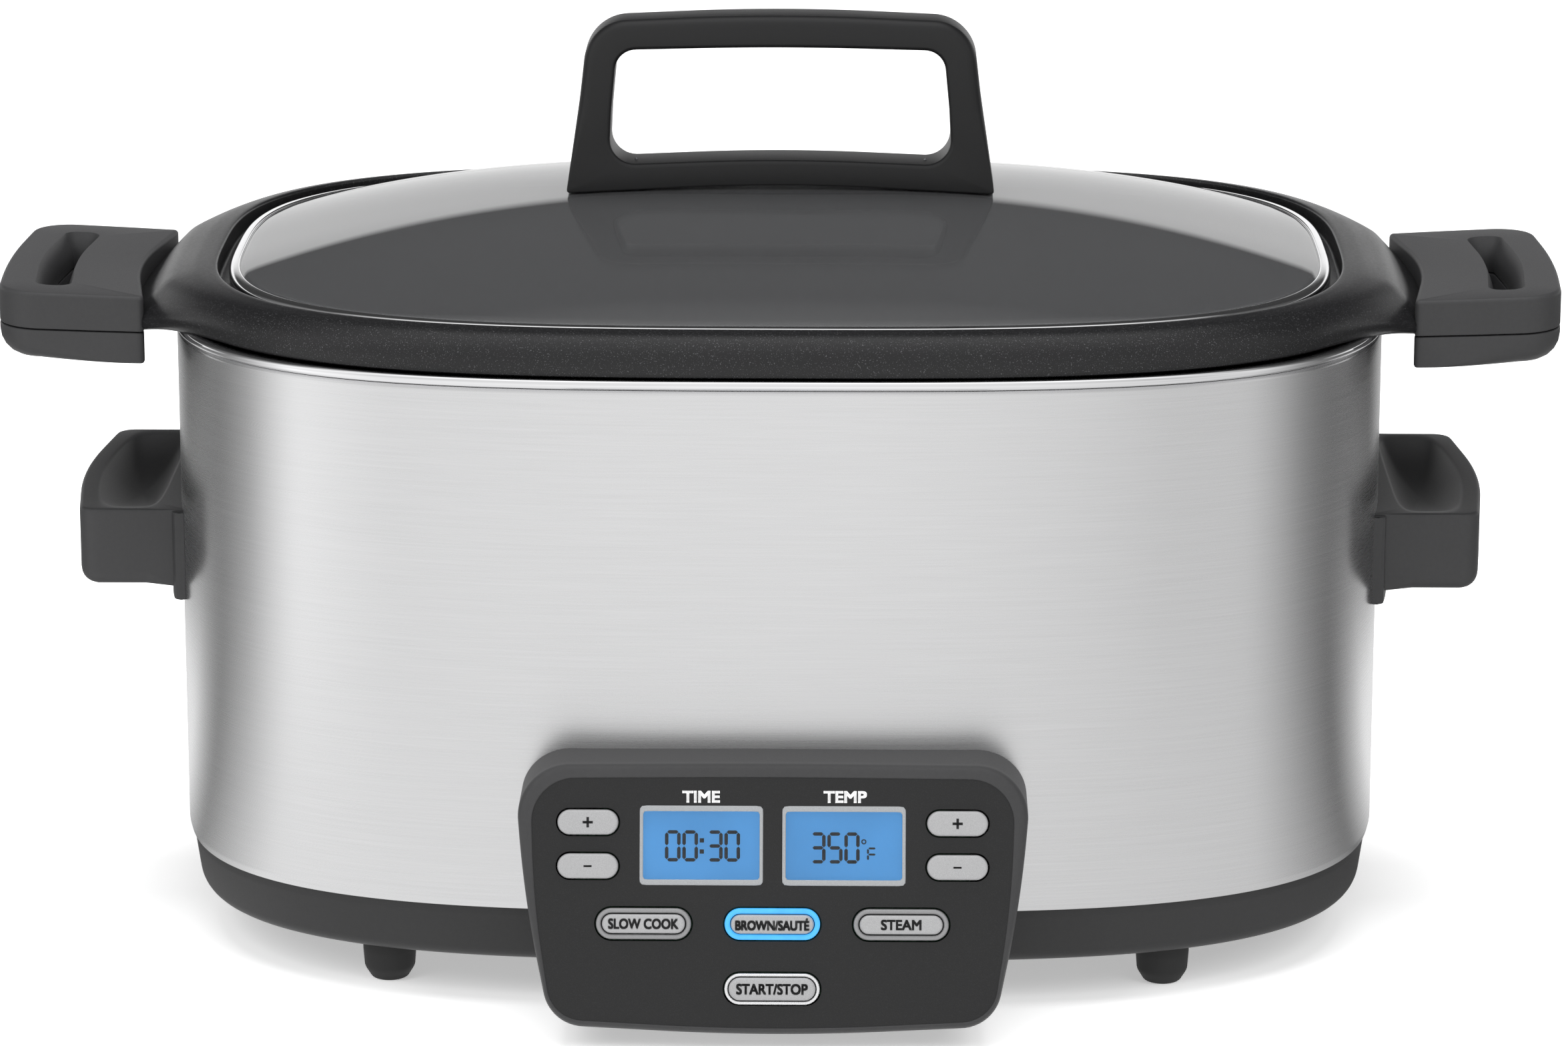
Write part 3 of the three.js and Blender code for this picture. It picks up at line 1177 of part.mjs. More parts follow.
// The part's origin is the middle of its footprint, so the oval's middle lies behind it by half
// of what the panel reaches out further than the back does.
const rearReach = BODY_HALF_DEPTH + Math.max(TRIM_PROUD, GLAND_PROUD - BASE_INSET);
cooker.position.y = -(panelBottomY + rearReach) / 2;

export default slowCooker;
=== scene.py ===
"""Oval countertop slow cooker: steel housing, lift-out pot, glass lid and a push-button panel.

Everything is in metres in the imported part's frame: +X along the oval, -Y towards the control
panel, +Z up, with the feet on Z = 0. Sizes below are written in millimetres times MM.
"""

import logging
import math
from dataclasses import dataclass, field
from enum import Enum
from typing import Callable, Sequence

import bmesh
import bpy
import numpy as np
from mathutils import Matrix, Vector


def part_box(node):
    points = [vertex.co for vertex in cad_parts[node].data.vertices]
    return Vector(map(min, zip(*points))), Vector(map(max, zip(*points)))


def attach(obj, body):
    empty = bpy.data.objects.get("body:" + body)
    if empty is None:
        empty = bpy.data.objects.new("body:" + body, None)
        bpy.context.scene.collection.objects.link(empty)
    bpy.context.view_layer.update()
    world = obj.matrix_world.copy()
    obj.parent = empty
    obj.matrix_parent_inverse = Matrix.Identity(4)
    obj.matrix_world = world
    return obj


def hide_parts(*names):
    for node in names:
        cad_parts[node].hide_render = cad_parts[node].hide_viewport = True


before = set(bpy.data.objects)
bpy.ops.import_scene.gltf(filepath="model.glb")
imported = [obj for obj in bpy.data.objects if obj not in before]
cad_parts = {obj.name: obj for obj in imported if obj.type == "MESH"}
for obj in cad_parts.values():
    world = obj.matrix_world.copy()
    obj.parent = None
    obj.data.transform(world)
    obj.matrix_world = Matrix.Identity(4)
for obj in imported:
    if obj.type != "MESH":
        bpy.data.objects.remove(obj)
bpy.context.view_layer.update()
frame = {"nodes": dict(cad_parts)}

log = logging.getLogger("slow_cooker")
MM = 0.001
Colour = tuple[float, float, float]


def node_box(name: str) -> tuple[np.ndarray, np.ndarray]:
    """Lowest and highest corner of a CAD node, in metres."""
    low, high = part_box(name)
    return np.array(low, float), np.array(high, float)


# ---- Shader graph -------------------------------------------------------------------------
class Value:
    """A shader socket that takes part in Python arithmetic by adding Math nodes."""

    def __init__(self, graph: "Graph", socket: bpy.types.NodeSocket) -> None:
        """Wraps an output socket of a node in the graph."""
        self.graph = graph
        self.socket = socket

    def math(self, operation: str, *operands: "Value | float") -> "Value":
        """Adds one Math node.

        Args:
            operation: the Math node's operation.
            operands: its inputs in order.

        Returns:
            The node's output.
        """
        return self.graph.add(
            "ShaderNodeMath", {"operation": operation}, dict(enumerate(operands))
        )

    def __add__(self, other: "Value | float") -> "Value":
        """self + other."""
        return self.math("ADD", self, other)

    __radd__ = __add__

    def __sub__(self, other: "Value | float") -> "Value":
        """self - other."""
        return self.math("SUBTRACT", self, other)

    def __rsub__(self, other: float) -> "Value":
        """other - self."""
        return self.math("SUBTRACT", other, self)

    def __mul__(self, other: "Value | float") -> "Value":
        """self * other."""
        return self.math("MULTIPLY", self, other)

    __rmul__ = __mul__

    def __gt__(self, other: "Value | float") -> "Value":
        """1 where self is above other, else 0."""
        return self.math("GREATER_THAN", self, other)

    def span(self, low: float, high: float, to_low: float = 0.0, to_high: float = 1.0) -> "Value":
        """Maps low..high to to_low..to_high, held at the ends.

        Args:
            low, high: the range of the input.
            to_low, to_high: the range of the result.

        Returns:
            The mapped value.
        """
        return self.graph.add(
            "ShaderNodeMapRange",
            {"clamp": True},
            {
                "Value": self,
                "From Min": low,
                "From Max": high,
                "To Min": to_low,
                "To Max": to_high,
            },
        )


class Graph:
    """The node graph of one material, around one Principled shader."""

    def __init__(self, name: str) -> None:
        """Starts an empty material with its shader and output."""
        self.material = bpy.data.materials.new(name)
        self.material.use_nodes = True
        self.tree = self.material.node_tree
        self.tree.nodes.clear()
        self.output = self.tree.nodes.new("ShaderNodeOutputMaterial")
        self.shader = self.tree.nodes.new("ShaderNodeBsdfPrincipled")
        self.tree.links.new(self.shader.outputs["BSDF"], self.output.inputs["Surface"])

    def plug(self, socket: bpy.types.NodeSocket, value: object) -> None:
        """Links or sets one input socket.

        Args:
            socket: the input.
            value: a Value to link, or a number, colour or vector to set.
        """
        if isinstance(value, Value):
            self.tree.links.new(value.socket, socket)
        elif isinstance(value, tuple) and len(value) == 3 and socket.type == "RGBA":
            socket.default_value = (*value, 1.0)
        else:
            socket.default_value = value

    def add(
        self,
        kind: str,
        settings: dict | None = None,
        inputs: dict | None = None,
        out: str | int = 0,
    ) -> Value:
        """Adds any node.

        Args:
            kind: the node's type.
            settings: its properties, set first; "stops" is a ramp's (place, colour) pairs.
            inputs: values or links of its sockets, by name or number.
            out: which output to return.

        Returns:
            The chosen output.
        """
        node = self.tree.nodes.new(kind)
        for key, value in (settings or {}).items():
            if key == "stops":
                ramp = node.color_ramp.elements
                while len(ramp) < len(value):
                    ramp.new(0.5)
                for element, (place, colour) in zip(ramp, value):
                    element.position = place
                    element.color = (*colour, 1.0)
            else:
                setattr(node, key, value)
        for key, value in (inputs or {}).items():
            self.plug(node.inputs[key], value)
        return Value(self, node.outputs[out])

    def where(self, scale: tuple[float, float, float] = (1, 1, 1)) -> Value:
        """Object coordinates in metres, stretched by a scale."""
        place = self.add("ShaderNodeTexCoord", out="Object")
        return self.add("ShaderNodeMapping", inputs={"Vector": place, "Scale": scale})

    def noise(
        self, scale: float, detail: float = 3, rough: float = 0.5, place: Value | None = None
    ) -> Value:
        """Fractal noise over Object coordinates.

        Args:
            scale: features per metre.
            detail: octaves.
            rough: how strongly the finer octaves count.
            place: coordinates, when not the plain Object ones.

        Returns:
            A value from 0 to 1.
        """
        return self.add(
            "ShaderNodeTexNoise",
            inputs={
                "Vector": place or self.where(),
                "Scale": scale,
                "Detail": detail,
                "Roughness": rough,
            },
        )

    def blend(self, factor: Value | float, first: Value | Colour, second: Value | Colour) -> Value:
        """Mixes two colours.

        Args:
            factor: 0 for the first, 1 for the second.
            first, second: the colours.

        Returns:
            The mixed colour.
        """
        return self.add(
            "ShaderNodeMix",
            {"data_type": "RGBA", "clamp_factor": True},
            {0: factor, 6: first, 7: second},
            out=2,
        )

    def bump(self, height: Value, distance: float, strength: float = 1.0) -> Value:
        """A Bump node for the shader's Normal.

        Args:
            height: the height, from 0 to 1.
            distance: how deep the height reaches, in metres.
            strength: how much of it shows.

        Returns:
            The normal.
        """
        return self.add(
            "ShaderNodeBump",
            inputs={"Height": height, "Distance": distance, "Strength": strength},
            out="Normal",
        )

    def surface(self, **sockets: object) -> bpy.types.Material:
        """Sets the Principled shader's sockets by name, with _ for a space.

        Returns:
            The finished material.
        """
        for name, value in sockets.items():
            self.plug(self.shader.inputs[name.replace("_", " ")], value)
        return self.material


# ---- Finishes -----------------------------------------------------------------------------
@dataclass(frozen=True)
class Finish:
    """A material with a name of its own; each kind writes its own recipe."""

    name: str
    slot: str

    def recipe(self, graph: Graph) -> bpy.types.Material:
        """Fills the graph in and returns the material."""
        raise NotImplementedError

    def material(self) -> bpy.types.Material:
        """The material, made once and then shared."""
        return bpy.data.materials.get(self.name) or self.recipe(Graph(self.name))


@dataclass(frozen=True)
class BrushedSteel(Finish):
    """Steel sheet with fine scratches running level round the body."""

    colour: Colour = (0.72, 0.72, 0.725)
    roughness: float = 0.3

    def recipe(self, graph: Graph) -> bpy.types.Material:
        """Level scratches at two scales, and faint broad patches."""
        fine = graph.noise(1.0, 4, 0.62, graph.where((34, 34, 3400)))
        long = graph.noise(1.0, 3, 0.55, graph.where((24, 24, 1900)))
        patches = graph.noise(14, 2)
        scratches = fine * 0.65 + long * 0.35
        tone = scratches.span(0.3, 0.7)
        dark = tuple(0.95 * c for c in self.colour)
        light = tuple(min(1.0, 1.04 * c) for c in self.colour)
        return graph.surface(
            Base_Color=graph.blend(tone, dark, light),
            Metallic=1.0,
            Roughness=(scratches * 0.08 + patches * 0.03) + (self.roughness - 0.08),
            Anisotropic=0.62,
            Anisotropic_Rotation=0.25,
            Normal=graph.bump(scratches, 0.00003, 0.2),
        )


@dataclass(frozen=True)
class PolishedSteel(Finish):
    """Bright rolled steel with faint wiping marks."""

    colour: Colour = (0.86, 0.86, 0.87)
    roughness: float = 0.07

    def recipe(self, graph: Graph) -> bpy.types.Material:
        """Nearly a mirror, a little duller in cloudy patches."""
        cloud = graph.noise(60, 4)
        wipe = graph.noise(1.0, 3, 0.5, graph.where((60, 60, 900)))
        return graph.surface(
            Base_Color=graph.blend(cloud, tuple(0.95 * c for c in self.colour), self.colour),
            Metallic=1.0,
            Roughness=cloud * 0.05 + wipe * 0.04 + (self.roughness - 0.03),
            Normal=graph.bump(wipe, 0.00001, 0.2),
        )


@dataclass(frozen=True)
class MouldedPlastic(Finish):
    """Moulded plastic with a fine spark-eroded grain."""

    colour: Colour = (0.045, 0.045, 0.047)
    roughness: float = 0.5
    grain: float = 2600.0
    depth: float = 0.00004

    def recipe(self, graph: Graph) -> bpy.types.Material:
        """Grain in the bump and roughness, and slow drifts of tone."""
        grain = graph.noise(self.grain, 2, 0.6)
        drift = graph.noise(22, 3)
        dust = graph.noise(700, 3, 0.7)
        tone = drift * 0.6 + dust * 0.4
        return graph.surface(
            Base_Color=graph.blend(
                tone.span(0.3, 0.7),
                tuple(0.86 * c for c in self.colour),
                tuple(1.14 * c for c in self.colour),
            ),
            Roughness=grain * 0.14 + drift * 0.08 + (self.roughness - 0.11),
            Specular_IOR_Level=0.45,
            Normal=graph.bump(grain, self.depth, 0.5),
        )


@dataclass(frozen=True)
class NonStick(Finish):
    """Black sprayed non-stick coating with a scatter of pale flecks."""

    colour: Colour = (0.0065, 0.0065, 0.007)
    fleck: Colour = (0.1, 0.1, 0.105)
    roughness: float = 0.34

    def recipe(self, graph: Graph) -> bpy.types.Material:
        """Flecks where a fine noise peaks, over a slightly pebbled coat."""
        speck = graph.noise(2900, 1, 0.5)
        shows = speck.span(0.64, 0.72)
        pebble = graph.noise(900, 3, 0.6)
        cloud = graph.noise(18, 2)
        return graph.surface(
            Base_Color=graph.blend(shows * 0.8, self.colour, self.fleck),
            Metallic=shows * 0.35,
            Roughness=pebble * 0.14 + cloud * 0.06 + (self.roughness - 0.1),
            Specular_IOR_Level=0.36,
            Coat_Weight=0.1,
            Coat_Roughness=0.32,
            Normal=graph.bump(pebble, 0.00005, 0.45),
        )


@dataclass(frozen=True)
class SmokedGlass(Finish):
    """Tempered glass with a smoky tint."""

    tint: Colour = (0.26, 0.263, 0.27)
    clear: float = 0.86

    def recipe(self, graph: Graph) -> bpy.types.Material:
        """A tinted clear body with faint smears in its gloss."""
        smear = graph.noise(26, 4, 0.6)
        return graph.surface(
            Base_Color=graph.blend(smear, tuple(0.96 * c for c in self.tint), self.tint),
            Transmission_Weight=self.clear,
            IOR=1.5,
            Roughness=smear.span(0.35, 0.75, 0.015, 0.06),
        )


@dataclass(frozen=True)
class ClearWindow(Finish):
    """A clear window with a faint grain of wiping."""

    tint: Colour = (0.95, 0.97, 1.0)

    def recipe(self, graph: Graph) -> bpy.types.Material:
        """Clear plastic, slightly uneven in gloss."""
        smear = graph.noise(90, 3)
        return graph.surface(
            Base_Color=graph.blend(smear, self.tint, tuple(0.985 * c for c in self.tint)),
            Transmission_Weight=1.0,
            IOR=1.3,
            Roughness=smear.span(0.3, 0.7, 0.02, 0.07),
        )


@dataclass(frozen=True)
class FasciaFilm(Finish):
    """Printed black film with a fine sandy texture."""

    colour: Colour = (0.0045, 0.0045, 0.0048)
    roughness: float = 0.44

    def recipe(self, graph: Graph) -> bpy.types.Material:
        """Sandy bump with tiny paler grains."""
        sand = graph.noise(3400, 2, 0.6)
        drift = graph.noise(40, 3)
        return graph.surface(
            Base_Color=graph.blend(
                sand.span(0.5, 0.8), self.colour, tuple(3.2 * c for c in self.colour)
            ),
            Roughness=sand * 0.16 + drift * 0.06 + (self.roughness - 0.1),
            Specular_IOR_Level=0.5,
            Normal=graph.bump(sand, 0.00004, 0.55),
        )


@dataclass(frozen=True)
class MetallicPaint(Finish):
    """Silver paint with fine metal flake."""

    colour: Colour = (0.38, 0.38, 0.385)
    roughness: float = 0.36
    metal: float = 0.35

    def recipe(self, graph: Graph) -> bpy.types.Material:
        """Flake in the colour and the gloss."""
        flake = graph.noise(5200, 1, 0.5)
        wear = graph.noise(320, 4, 0.6)
        return graph.surface(
            Base_Color=graph.blend(
                flake.span(0.35, 0.7),
                tuple(0.86 * c for c in self.colour),
                tuple(min(1.0, 1.14 * c) for c in self.colour),
            ),
            Metallic=flake.span(0.3, 0.7, self.metal - 0.15, self.metal + 0.15),
            Roughness=wear * 0.12 + (self.roughness - 0.06),
            Coat_Weight=0.15,
            Coat_Roughness=0.15,
            Normal=graph.bump(flake, 0.00001, 0.3),
        )


@dataclass(frozen=True)
class LitPlastic(Finish):
    """Translucent plastic with a lamp behind it."""

    colour: Colour = (0.05, 0.45, 0.95)
    strength: float = 0.8
    lamp_scale: float = 60.0
    roughness: float = 0.3

    def recipe(self, graph: Graph) -> bpy.types.Material:
        """Glows a little unevenly, as light through moulded plastic does."""
        pool = graph.noise(self.lamp_scale, 2)
        glow = graph.blend(
            pool.span(0.3, 0.7),
            tuple(0.86 * c for c in self.colour),
            tuple(min(1.0, 1.1 * c) for c in self.colour),
        )
        return graph.surface(
            Base_Color=graph.blend(
                pool, tuple(0.3 * c for c in self.colour), tuple(0.4 * c for c in self.colour)
            ),
            Roughness=pool * 0.08 + (self.roughness - 0.04),
            Emission_Color=glow,
            Emission_Strength=self.strength,
        )


@dataclass(frozen=True)
class Ink(Finish):
    """Printed ink or liquid-crystal black for legends and digits."""

    colour: Colour = (0.8, 0.8, 0.8)
    # Emission strength of the ink: a painted glow, since printed ink is no lamp.
    glow: float = 0.0

    def recipe(self, graph: Graph) -> bpy.types.Material:
        """Slightly uneven ink; any glow is painted light, emission on print that is no lamp."""
        spread = graph.noise(2400, 2)
        tone = graph.blend(spread, tuple(0.88 * c for c in self.colour), self.colour)
        return graph.surface(
            Base_Color=tone,
            Roughness=spread * 0.15 + 0.45,
            Emission_Color=tone,
            Emission_Strength=self.glow,
        )


@dataclass(frozen=True)
class SheetMetal(Finish):
    """Rolled or drawn metal: aluminium sheet, zinc screws, heater sheath."""

    colour: Colour = (0.6, 0.61, 0.62)
    roughness: float = 0.42
    grain: tuple[float, float, float] = (60, 60, 900)
    stain: Colour = (0.42, 0.42, 0.43)
    stained: float = 0.3

    def recipe(self, graph: Graph) -> bpy.types.Material:
        """Drawing marks along one way, with duller stains."""
        marks = graph.noise(1.0, 3, 0.6, graph.where(self.grain))
        cloud = graph.noise(35, 4, 0.6)
        pits = graph.noise(1800, 2)
        return graph.surface(
            Base_Color=graph.blend(cloud.span(0.45, 0.75) * self.stained, self.colour, self.stain),
            Metallic=cloud.span(0.4, 0.8, 1.0, 0.85),
            Roughness=marks * 0.14 + cloud * 0.1 + (self.roughness - 0.12),
            Normal=graph.bump(marks * 0.7 + pits * 0.3, 0.00003, 0.4),
        )


@dataclass(frozen=True)
class Rubber(Finish):
    """Dull black rubber with a dusty bloom."""

    colour: Colour = (0.0045, 0.0045, 0.0045)

    def recipe(self, graph: Graph) -> bpy.types.Material:
        """Fine pores and paler bloom."""
        pores = graph.noise(1500, 3, 0.6)
        bloom = graph.noise(45, 4)
        return graph.surface(
            Base_Color=graph.blend(
                bloom.span(0.4, 0.8), self.colour, tuple(2.1 * c for c in self.colour)
            ),
            Roughness=pores * 0.1 + bloom * 0.1 + 0.68,
            Specular_IOR_Level=0.15,
            Normal=graph.bump(pores, 0.00006, 0.5),
        )


@dataclass(frozen=True)
class CircuitBoard(Finish):
    """Green solder mask over copper tracks."""

    mask: Colour = (0.012, 0.12, 0.05)
    copper: Colour = (0.04, 0.22, 0.08)

    def recipe(self, graph: Graph) -> bpy.types.Material:
        """Square-cornered tracks that show through the mask."""
        cells = graph.add(
            "ShaderNodeTexVoronoi",
            {"distance": "CHEBYCHEV", "feature": "F1"},
            {"Vector": graph.where(), "Scale": 260.0, "Randomness": 0.7},
            out="Distance",
        )
        track = cells.span(0.36, 0.42)
        weave = graph.noise(1500, 2)
        return graph.surface(
            Base_Color=graph.blend(track, self.mask, self.copper),
            Roughness=weave * 0.12 + 0.3,
            Normal=graph.bump(track, 0.00004, 0.5),
        )


class Finishes:
    """Every finish on the cooker, by the use it is put to."""

    shell = BrushedSteel("steel_shell", "brushed_steel_wrap")
    bright = PolishedSteel("steel_bright", "polished_steel")
    grey = MouldedPlastic("plastic_grey", "grey_plastic", (0.03, 0.03, 0.031), 0.5)
    # A darker copy of the grey plastic: its extra darkness is painted shade on the low base.
    sole = MouldedPlastic("plastic_base", "grey_plastic", (0.019, 0.019, 0.0195), 0.52)
    pod = MouldedPlastic("plastic_pod", "grey_plastic", (0.034, 0.034, 0.035), 0.5, 3200.0, 0.00003)
    black = MouldedPlastic(
        "plastic_black", "black_plastic", (0.006, 0.006, 0.0064), 0.42, 3000.0, 0.00003
    )
    pot = NonStick("pot_coating", "non_stick")
    glass = SmokedGlass("lid_glass_smoke", "smoked_glass")
    window = ClearWindow("display_window", "window_glass")
    fascia = FasciaFilm("fascia_film_black", "fascia_film")
    key = MetallicPaint("key_paint", "key_silver")
    ring = MetallicPaint("ring_paint", "ring_grey", (0.3, 0.3, 0.305), 0.3, 0.6)
    start_ring = MetallicPaint("ring_bright", "ring_grey", (0.8, 0.8, 0.81), 0.2, 0.7)
    frame = MetallicPaint("window_frame", "window_glass", (0.34, 0.35, 0.36), 0.3, 0.3)
    lit = LitPlastic("ring_lit", "ring_blue", (0.07, 0.42, 0.95), 0.9, 200.0)
    display = LitPlastic("display_lit", "display_blue", (0.09, 0.35, 0.74), 0.6, 30.0)
    # White legends with a painted glow: emission on printed ink.
    legend = Ink("legend_white", "fascia_film", (0.85, 0.85, 0.85), 0.25)
    key_legend = Ink("legend_dark", "key_silver", (0.012, 0.012, 0.013))
    digit = Ink("digit_dark", "display_blue", (0.002, 0.003, 0.006))
    sheet = SheetMetal("aluminium", "aluminium_sheet")
    zinc = SheetMetal("zinc", "screw_zinc", (0.5, 0.52, 0.54), 0.38, (500, 500, 500))
    sheath = SheetMetal(
        "heater_sheath_steel", "heater_sheath", (
            0.24, 0.235, 0.23
        ), 0.5, (300, 300, 300), (0.14, 0.11, 0.09), 0.6
    )
    rubber = Rubber("rubber_black", "rubber_black")
    board = CircuitBoard("board_green", "circuit_board")
    cable = MouldedPlastic("cable_grey", "cable_grey", (0.36, 0.37, 0.39), 0.55, 1500.0)


# ---- Surfaces -----------------------------------------------------------------------------
def rounded_corners(
    corners: np.ndarray, radii: np.ndarray, steps: int = 7, closed: bool = True
) -> np.ndarray:
    """A polygon with its corners rounded by circular arcs.

    Each arc is the rational quadratic through the corner's two tangent points, weighted by the
    sine of half the corner's angle, which is an exact circle.

    Args:
        corners: (n, 2) points in order.
        radii: (n,) radius at each corner, cut down where the sides are too short.
        steps: points on each arc.
        closed: whether the last point joins the first.

    Returns:
        (n * steps, 2) points.
    """
    corners = np.asarray(corners, float)
    to_last = np.roll(corners, 1, 0) - corners
    to_next = np.roll(corners, -1, 0) - corners
    last_length = np.linalg.norm(to_last, axis=1, keepdims=True)
    next_length = np.linalg.norm(to_next, axis=1, keepdims=True)
    to_last, to_next = to_last / last_length, to_next / next_length
    half = 0.5 * np.arccos(np.clip((to_last * to_next).sum(1, keepdims=True), -1, 1))
    radius = np.asarray(radii, float).reshape(-1, 1)
    if not closed:
        radius = radius * (np.arange(len(corners)) % (len(corners) - 1) > 0).reshape(-1, 1)
    reach = radius / np.tan(np.maximum(half, 1e-6))
    reach = np.minimum(reach, 0.499 * np.minimum(last_length, next_length))
    start, end = corners + to_last * reach, corners + to_next * reach
    t = np.linspace(0, 1, steps).reshape(1, -1, 1)
    weight = np.sin(half).reshape(-1, 1, 1)
    a, b, c = (1 - t) ** 2, 2 * weight * t * (1 - t), t**2
    arcs = a * start[:, None] + b * corners[:, None] + c * end[:, None]
    return (arcs / (a + b + c)).reshape(-1, 2)


def evenly(line: np.ndarray, count: int, closed: bool = True) -> np.ndarray:
    """Points at even distances along a line.

    Args:
        line: (n, d) points.
        count: how many points to return.
        closed: whether the line returns to its start.

    Returns:
        (count, d) points, the first where the line starts.
    """
    points = np.vstack([line, line[:1]]) if closed else line
    steps = np.linalg.norm(np.diff(points, axis=0), axis=1)
    along = np.concatenate([[0], np.cumsum(steps)])
    wanted = np.linspace(0, along[-1], count, endpoint=not closed)
    return np.stack([np.interp(wanted, along, column) for column in points.T], 1)


def inset(outline: np.ndarray, distance: np.ndarray | float) -> np.ndarray:
    """Moves a closed counter-clockwise outline inwards along its own normals.

    Args:
        outline: (n, 2) points.
        distance: how far, for all points or for each.

    Returns:
        (n, 2) points.
    """
    along = np.roll(outline, -1, 0) - np.roll(outline, 1, 0)
    along /= np.maximum(np.linalg.norm(along, axis=1, keepdims=True), 1e-12)
    normal = np.stack([-along[:, 1], along[:, 0]], 1)
    return outline + normal * np.broadcast_to(distance, len(outline)).reshape(-1, 1)


def quarter(steps: int = 5) -> tuple[np.ndarray, np.ndarray]:
    """A quarter circle from a face to its wall: how far in (1 to 0) and how far along (0 to 1)."""
    angle = np.linspace(0, np.pi / 2, steps)
    return 1 - np.sin(angle), 1 - np.cos(angle)


def lifted(outline: np.ndarray, height: np.ndarray | float) -> np.ndarray:
    """A flat outline as (n, 3) points at a height, or at a height for each point."""
    return np.column_stack([outline, np.broadcast_to(height, len(outline))])


def slab_rows(
    outline: np.ndarray,
    low: float,
    high: float,
    low_round: np.ndarray | float,
    high_round: np.ndarray | float,
    steps: int = 5,
) -> np.ndarray:
    """The side of a slab from its bottom face to its top face, with both edges rounded.

    Args:
        outline: (n, 2) counter-clockwise plan.
        low, high: heights of the faces.
        low_round, high_round: edge radii, for all points or for each.
        steps: rows on each rounded edge.

    Returns:
        (2 * steps, n, 3) rows.
    """
    inward, short = quarter(steps)
    rows = [
        lifted(inset(outline, low_round * i), low + low_round * s) for i, s in zip(inward, short)
    ]
    rows += [
        lifted(inset(outline, high_round * i), high - high_round * s)
        for i, s in zip(inward[::-1], short[::-1])
    ]
    return np.array(rows)


def hole_rows(
    outline: np.ndarray, low: float, high: float, edge: float, steps: int = 4
) -> np.ndarray:
    """The wall of a hole from the top face down to the bottom face, with both edges rounded.

    Args:
        outline: (n, 2) counter-clockwise plan of the hole.
        low, high: heights of the faces.
        edge: radius of both edges.
        steps: rows on each rounded edge.

    Returns:
        (2 * steps, n, 3) rows.
    """
    inward, short = quarter(steps)
    rows = [lifted(inset(outline, -edge * i), high - edge * s) for i, s in zip(inward, short)]
    rows += [
        lifted(inset(outline, -edge * i), low + edge * s) for i, s in zip(inward[::-1], short[::-1])
    ]
    return np.array(rows)


def quartered(line: np.ndarray, count: int) -> np.ndarray:
    """Points on a closed counter-clockwise line, parted evenly between its four corners.

    A corner is the point that reaches furthest along one of the four diagonals.

    Args:
        line: (n, 2) points.
        count: how many points to return, a multiple of four.

    Returns:
        (count, 2) points from the lower left corner on.
    """
    dense = evenly(line, 4096)
    low, high = dense.min(0), dense.max(0)
    reach = (dense - (low + high) / 2) / (high - low)
    corners = np.argmax(reach @ np.array([[-1, 1, 1, -1], [-1, -1, 1, 1]]), axis=0)
    dense = np.roll(dense, -corners[0], 0)
    marks = [*((corners - corners[0]) % len(dense)), len(dense)]
    loop = np.vstack([dense, dense[:1]])
    return np.vstack(
        [
            evenly(loop[a : b + 1], count // 4 + 1, closed=False)[:-1] for a,
            b in zip(marks, marks[1:])
        ]
    )


def shrunk(
    row: np.ndarray, shares: np.ndarray, centre: np.ndarray, rise: np.ndarray | float = 0.0
) -> np.ndarray:
    """Rows that close a face by shrinking an outline to a point.

    Args:
        row: (n, 3) the face's edge.
        shares: (k,) sizes from near 1 down to 0.
        centre: (2,) the point it shrinks to.
        rise: (k,) height added to each row.

    Returns:
        (k, n, 3) rows.
    """
    shares = np.asarray(shares, float).reshape(-1, 1, 1)
    plan = centre + (row[None, :, :2] - centre) * shares
    height = row[None, :, 2:] + np.broadcast_to(
        np.asarray(rise, float).reshape(-1, 1, 1), (len(shares), 1, 1)
    )
    return np.concatenate([plan, np.broadcast_to(height, plan.shape[:2] + (1,))], 2)


def sheet_faces(
    rows: int, columns: int, first: int, wrap_rows: bool, wrap_columns: bool
) -> np.ndarray:
    """Quads of a grid of points.

    Args:
        rows, columns: the grid's size.
        first: number of its first vertex.
        wrap_rows, wrap_columns: whether the grid closes on itself.

    Returns:
        (faces, 4) vertex numbers.
    """
    i = np.arange(rows if wrap_rows else rows - 1)
    j = np.arange(columns if wrap_columns else columns - 1)
    i, j = (part.ravel() for part in np.meshgrid(i, j, indexing="ij"))
    below, beside = (i + 1) % rows, (j + 1) % columns
    corners = [i * columns + j, i * columns + beside, below * columns + beside, below * columns + j]
    return np.stack(corners, 1) + first


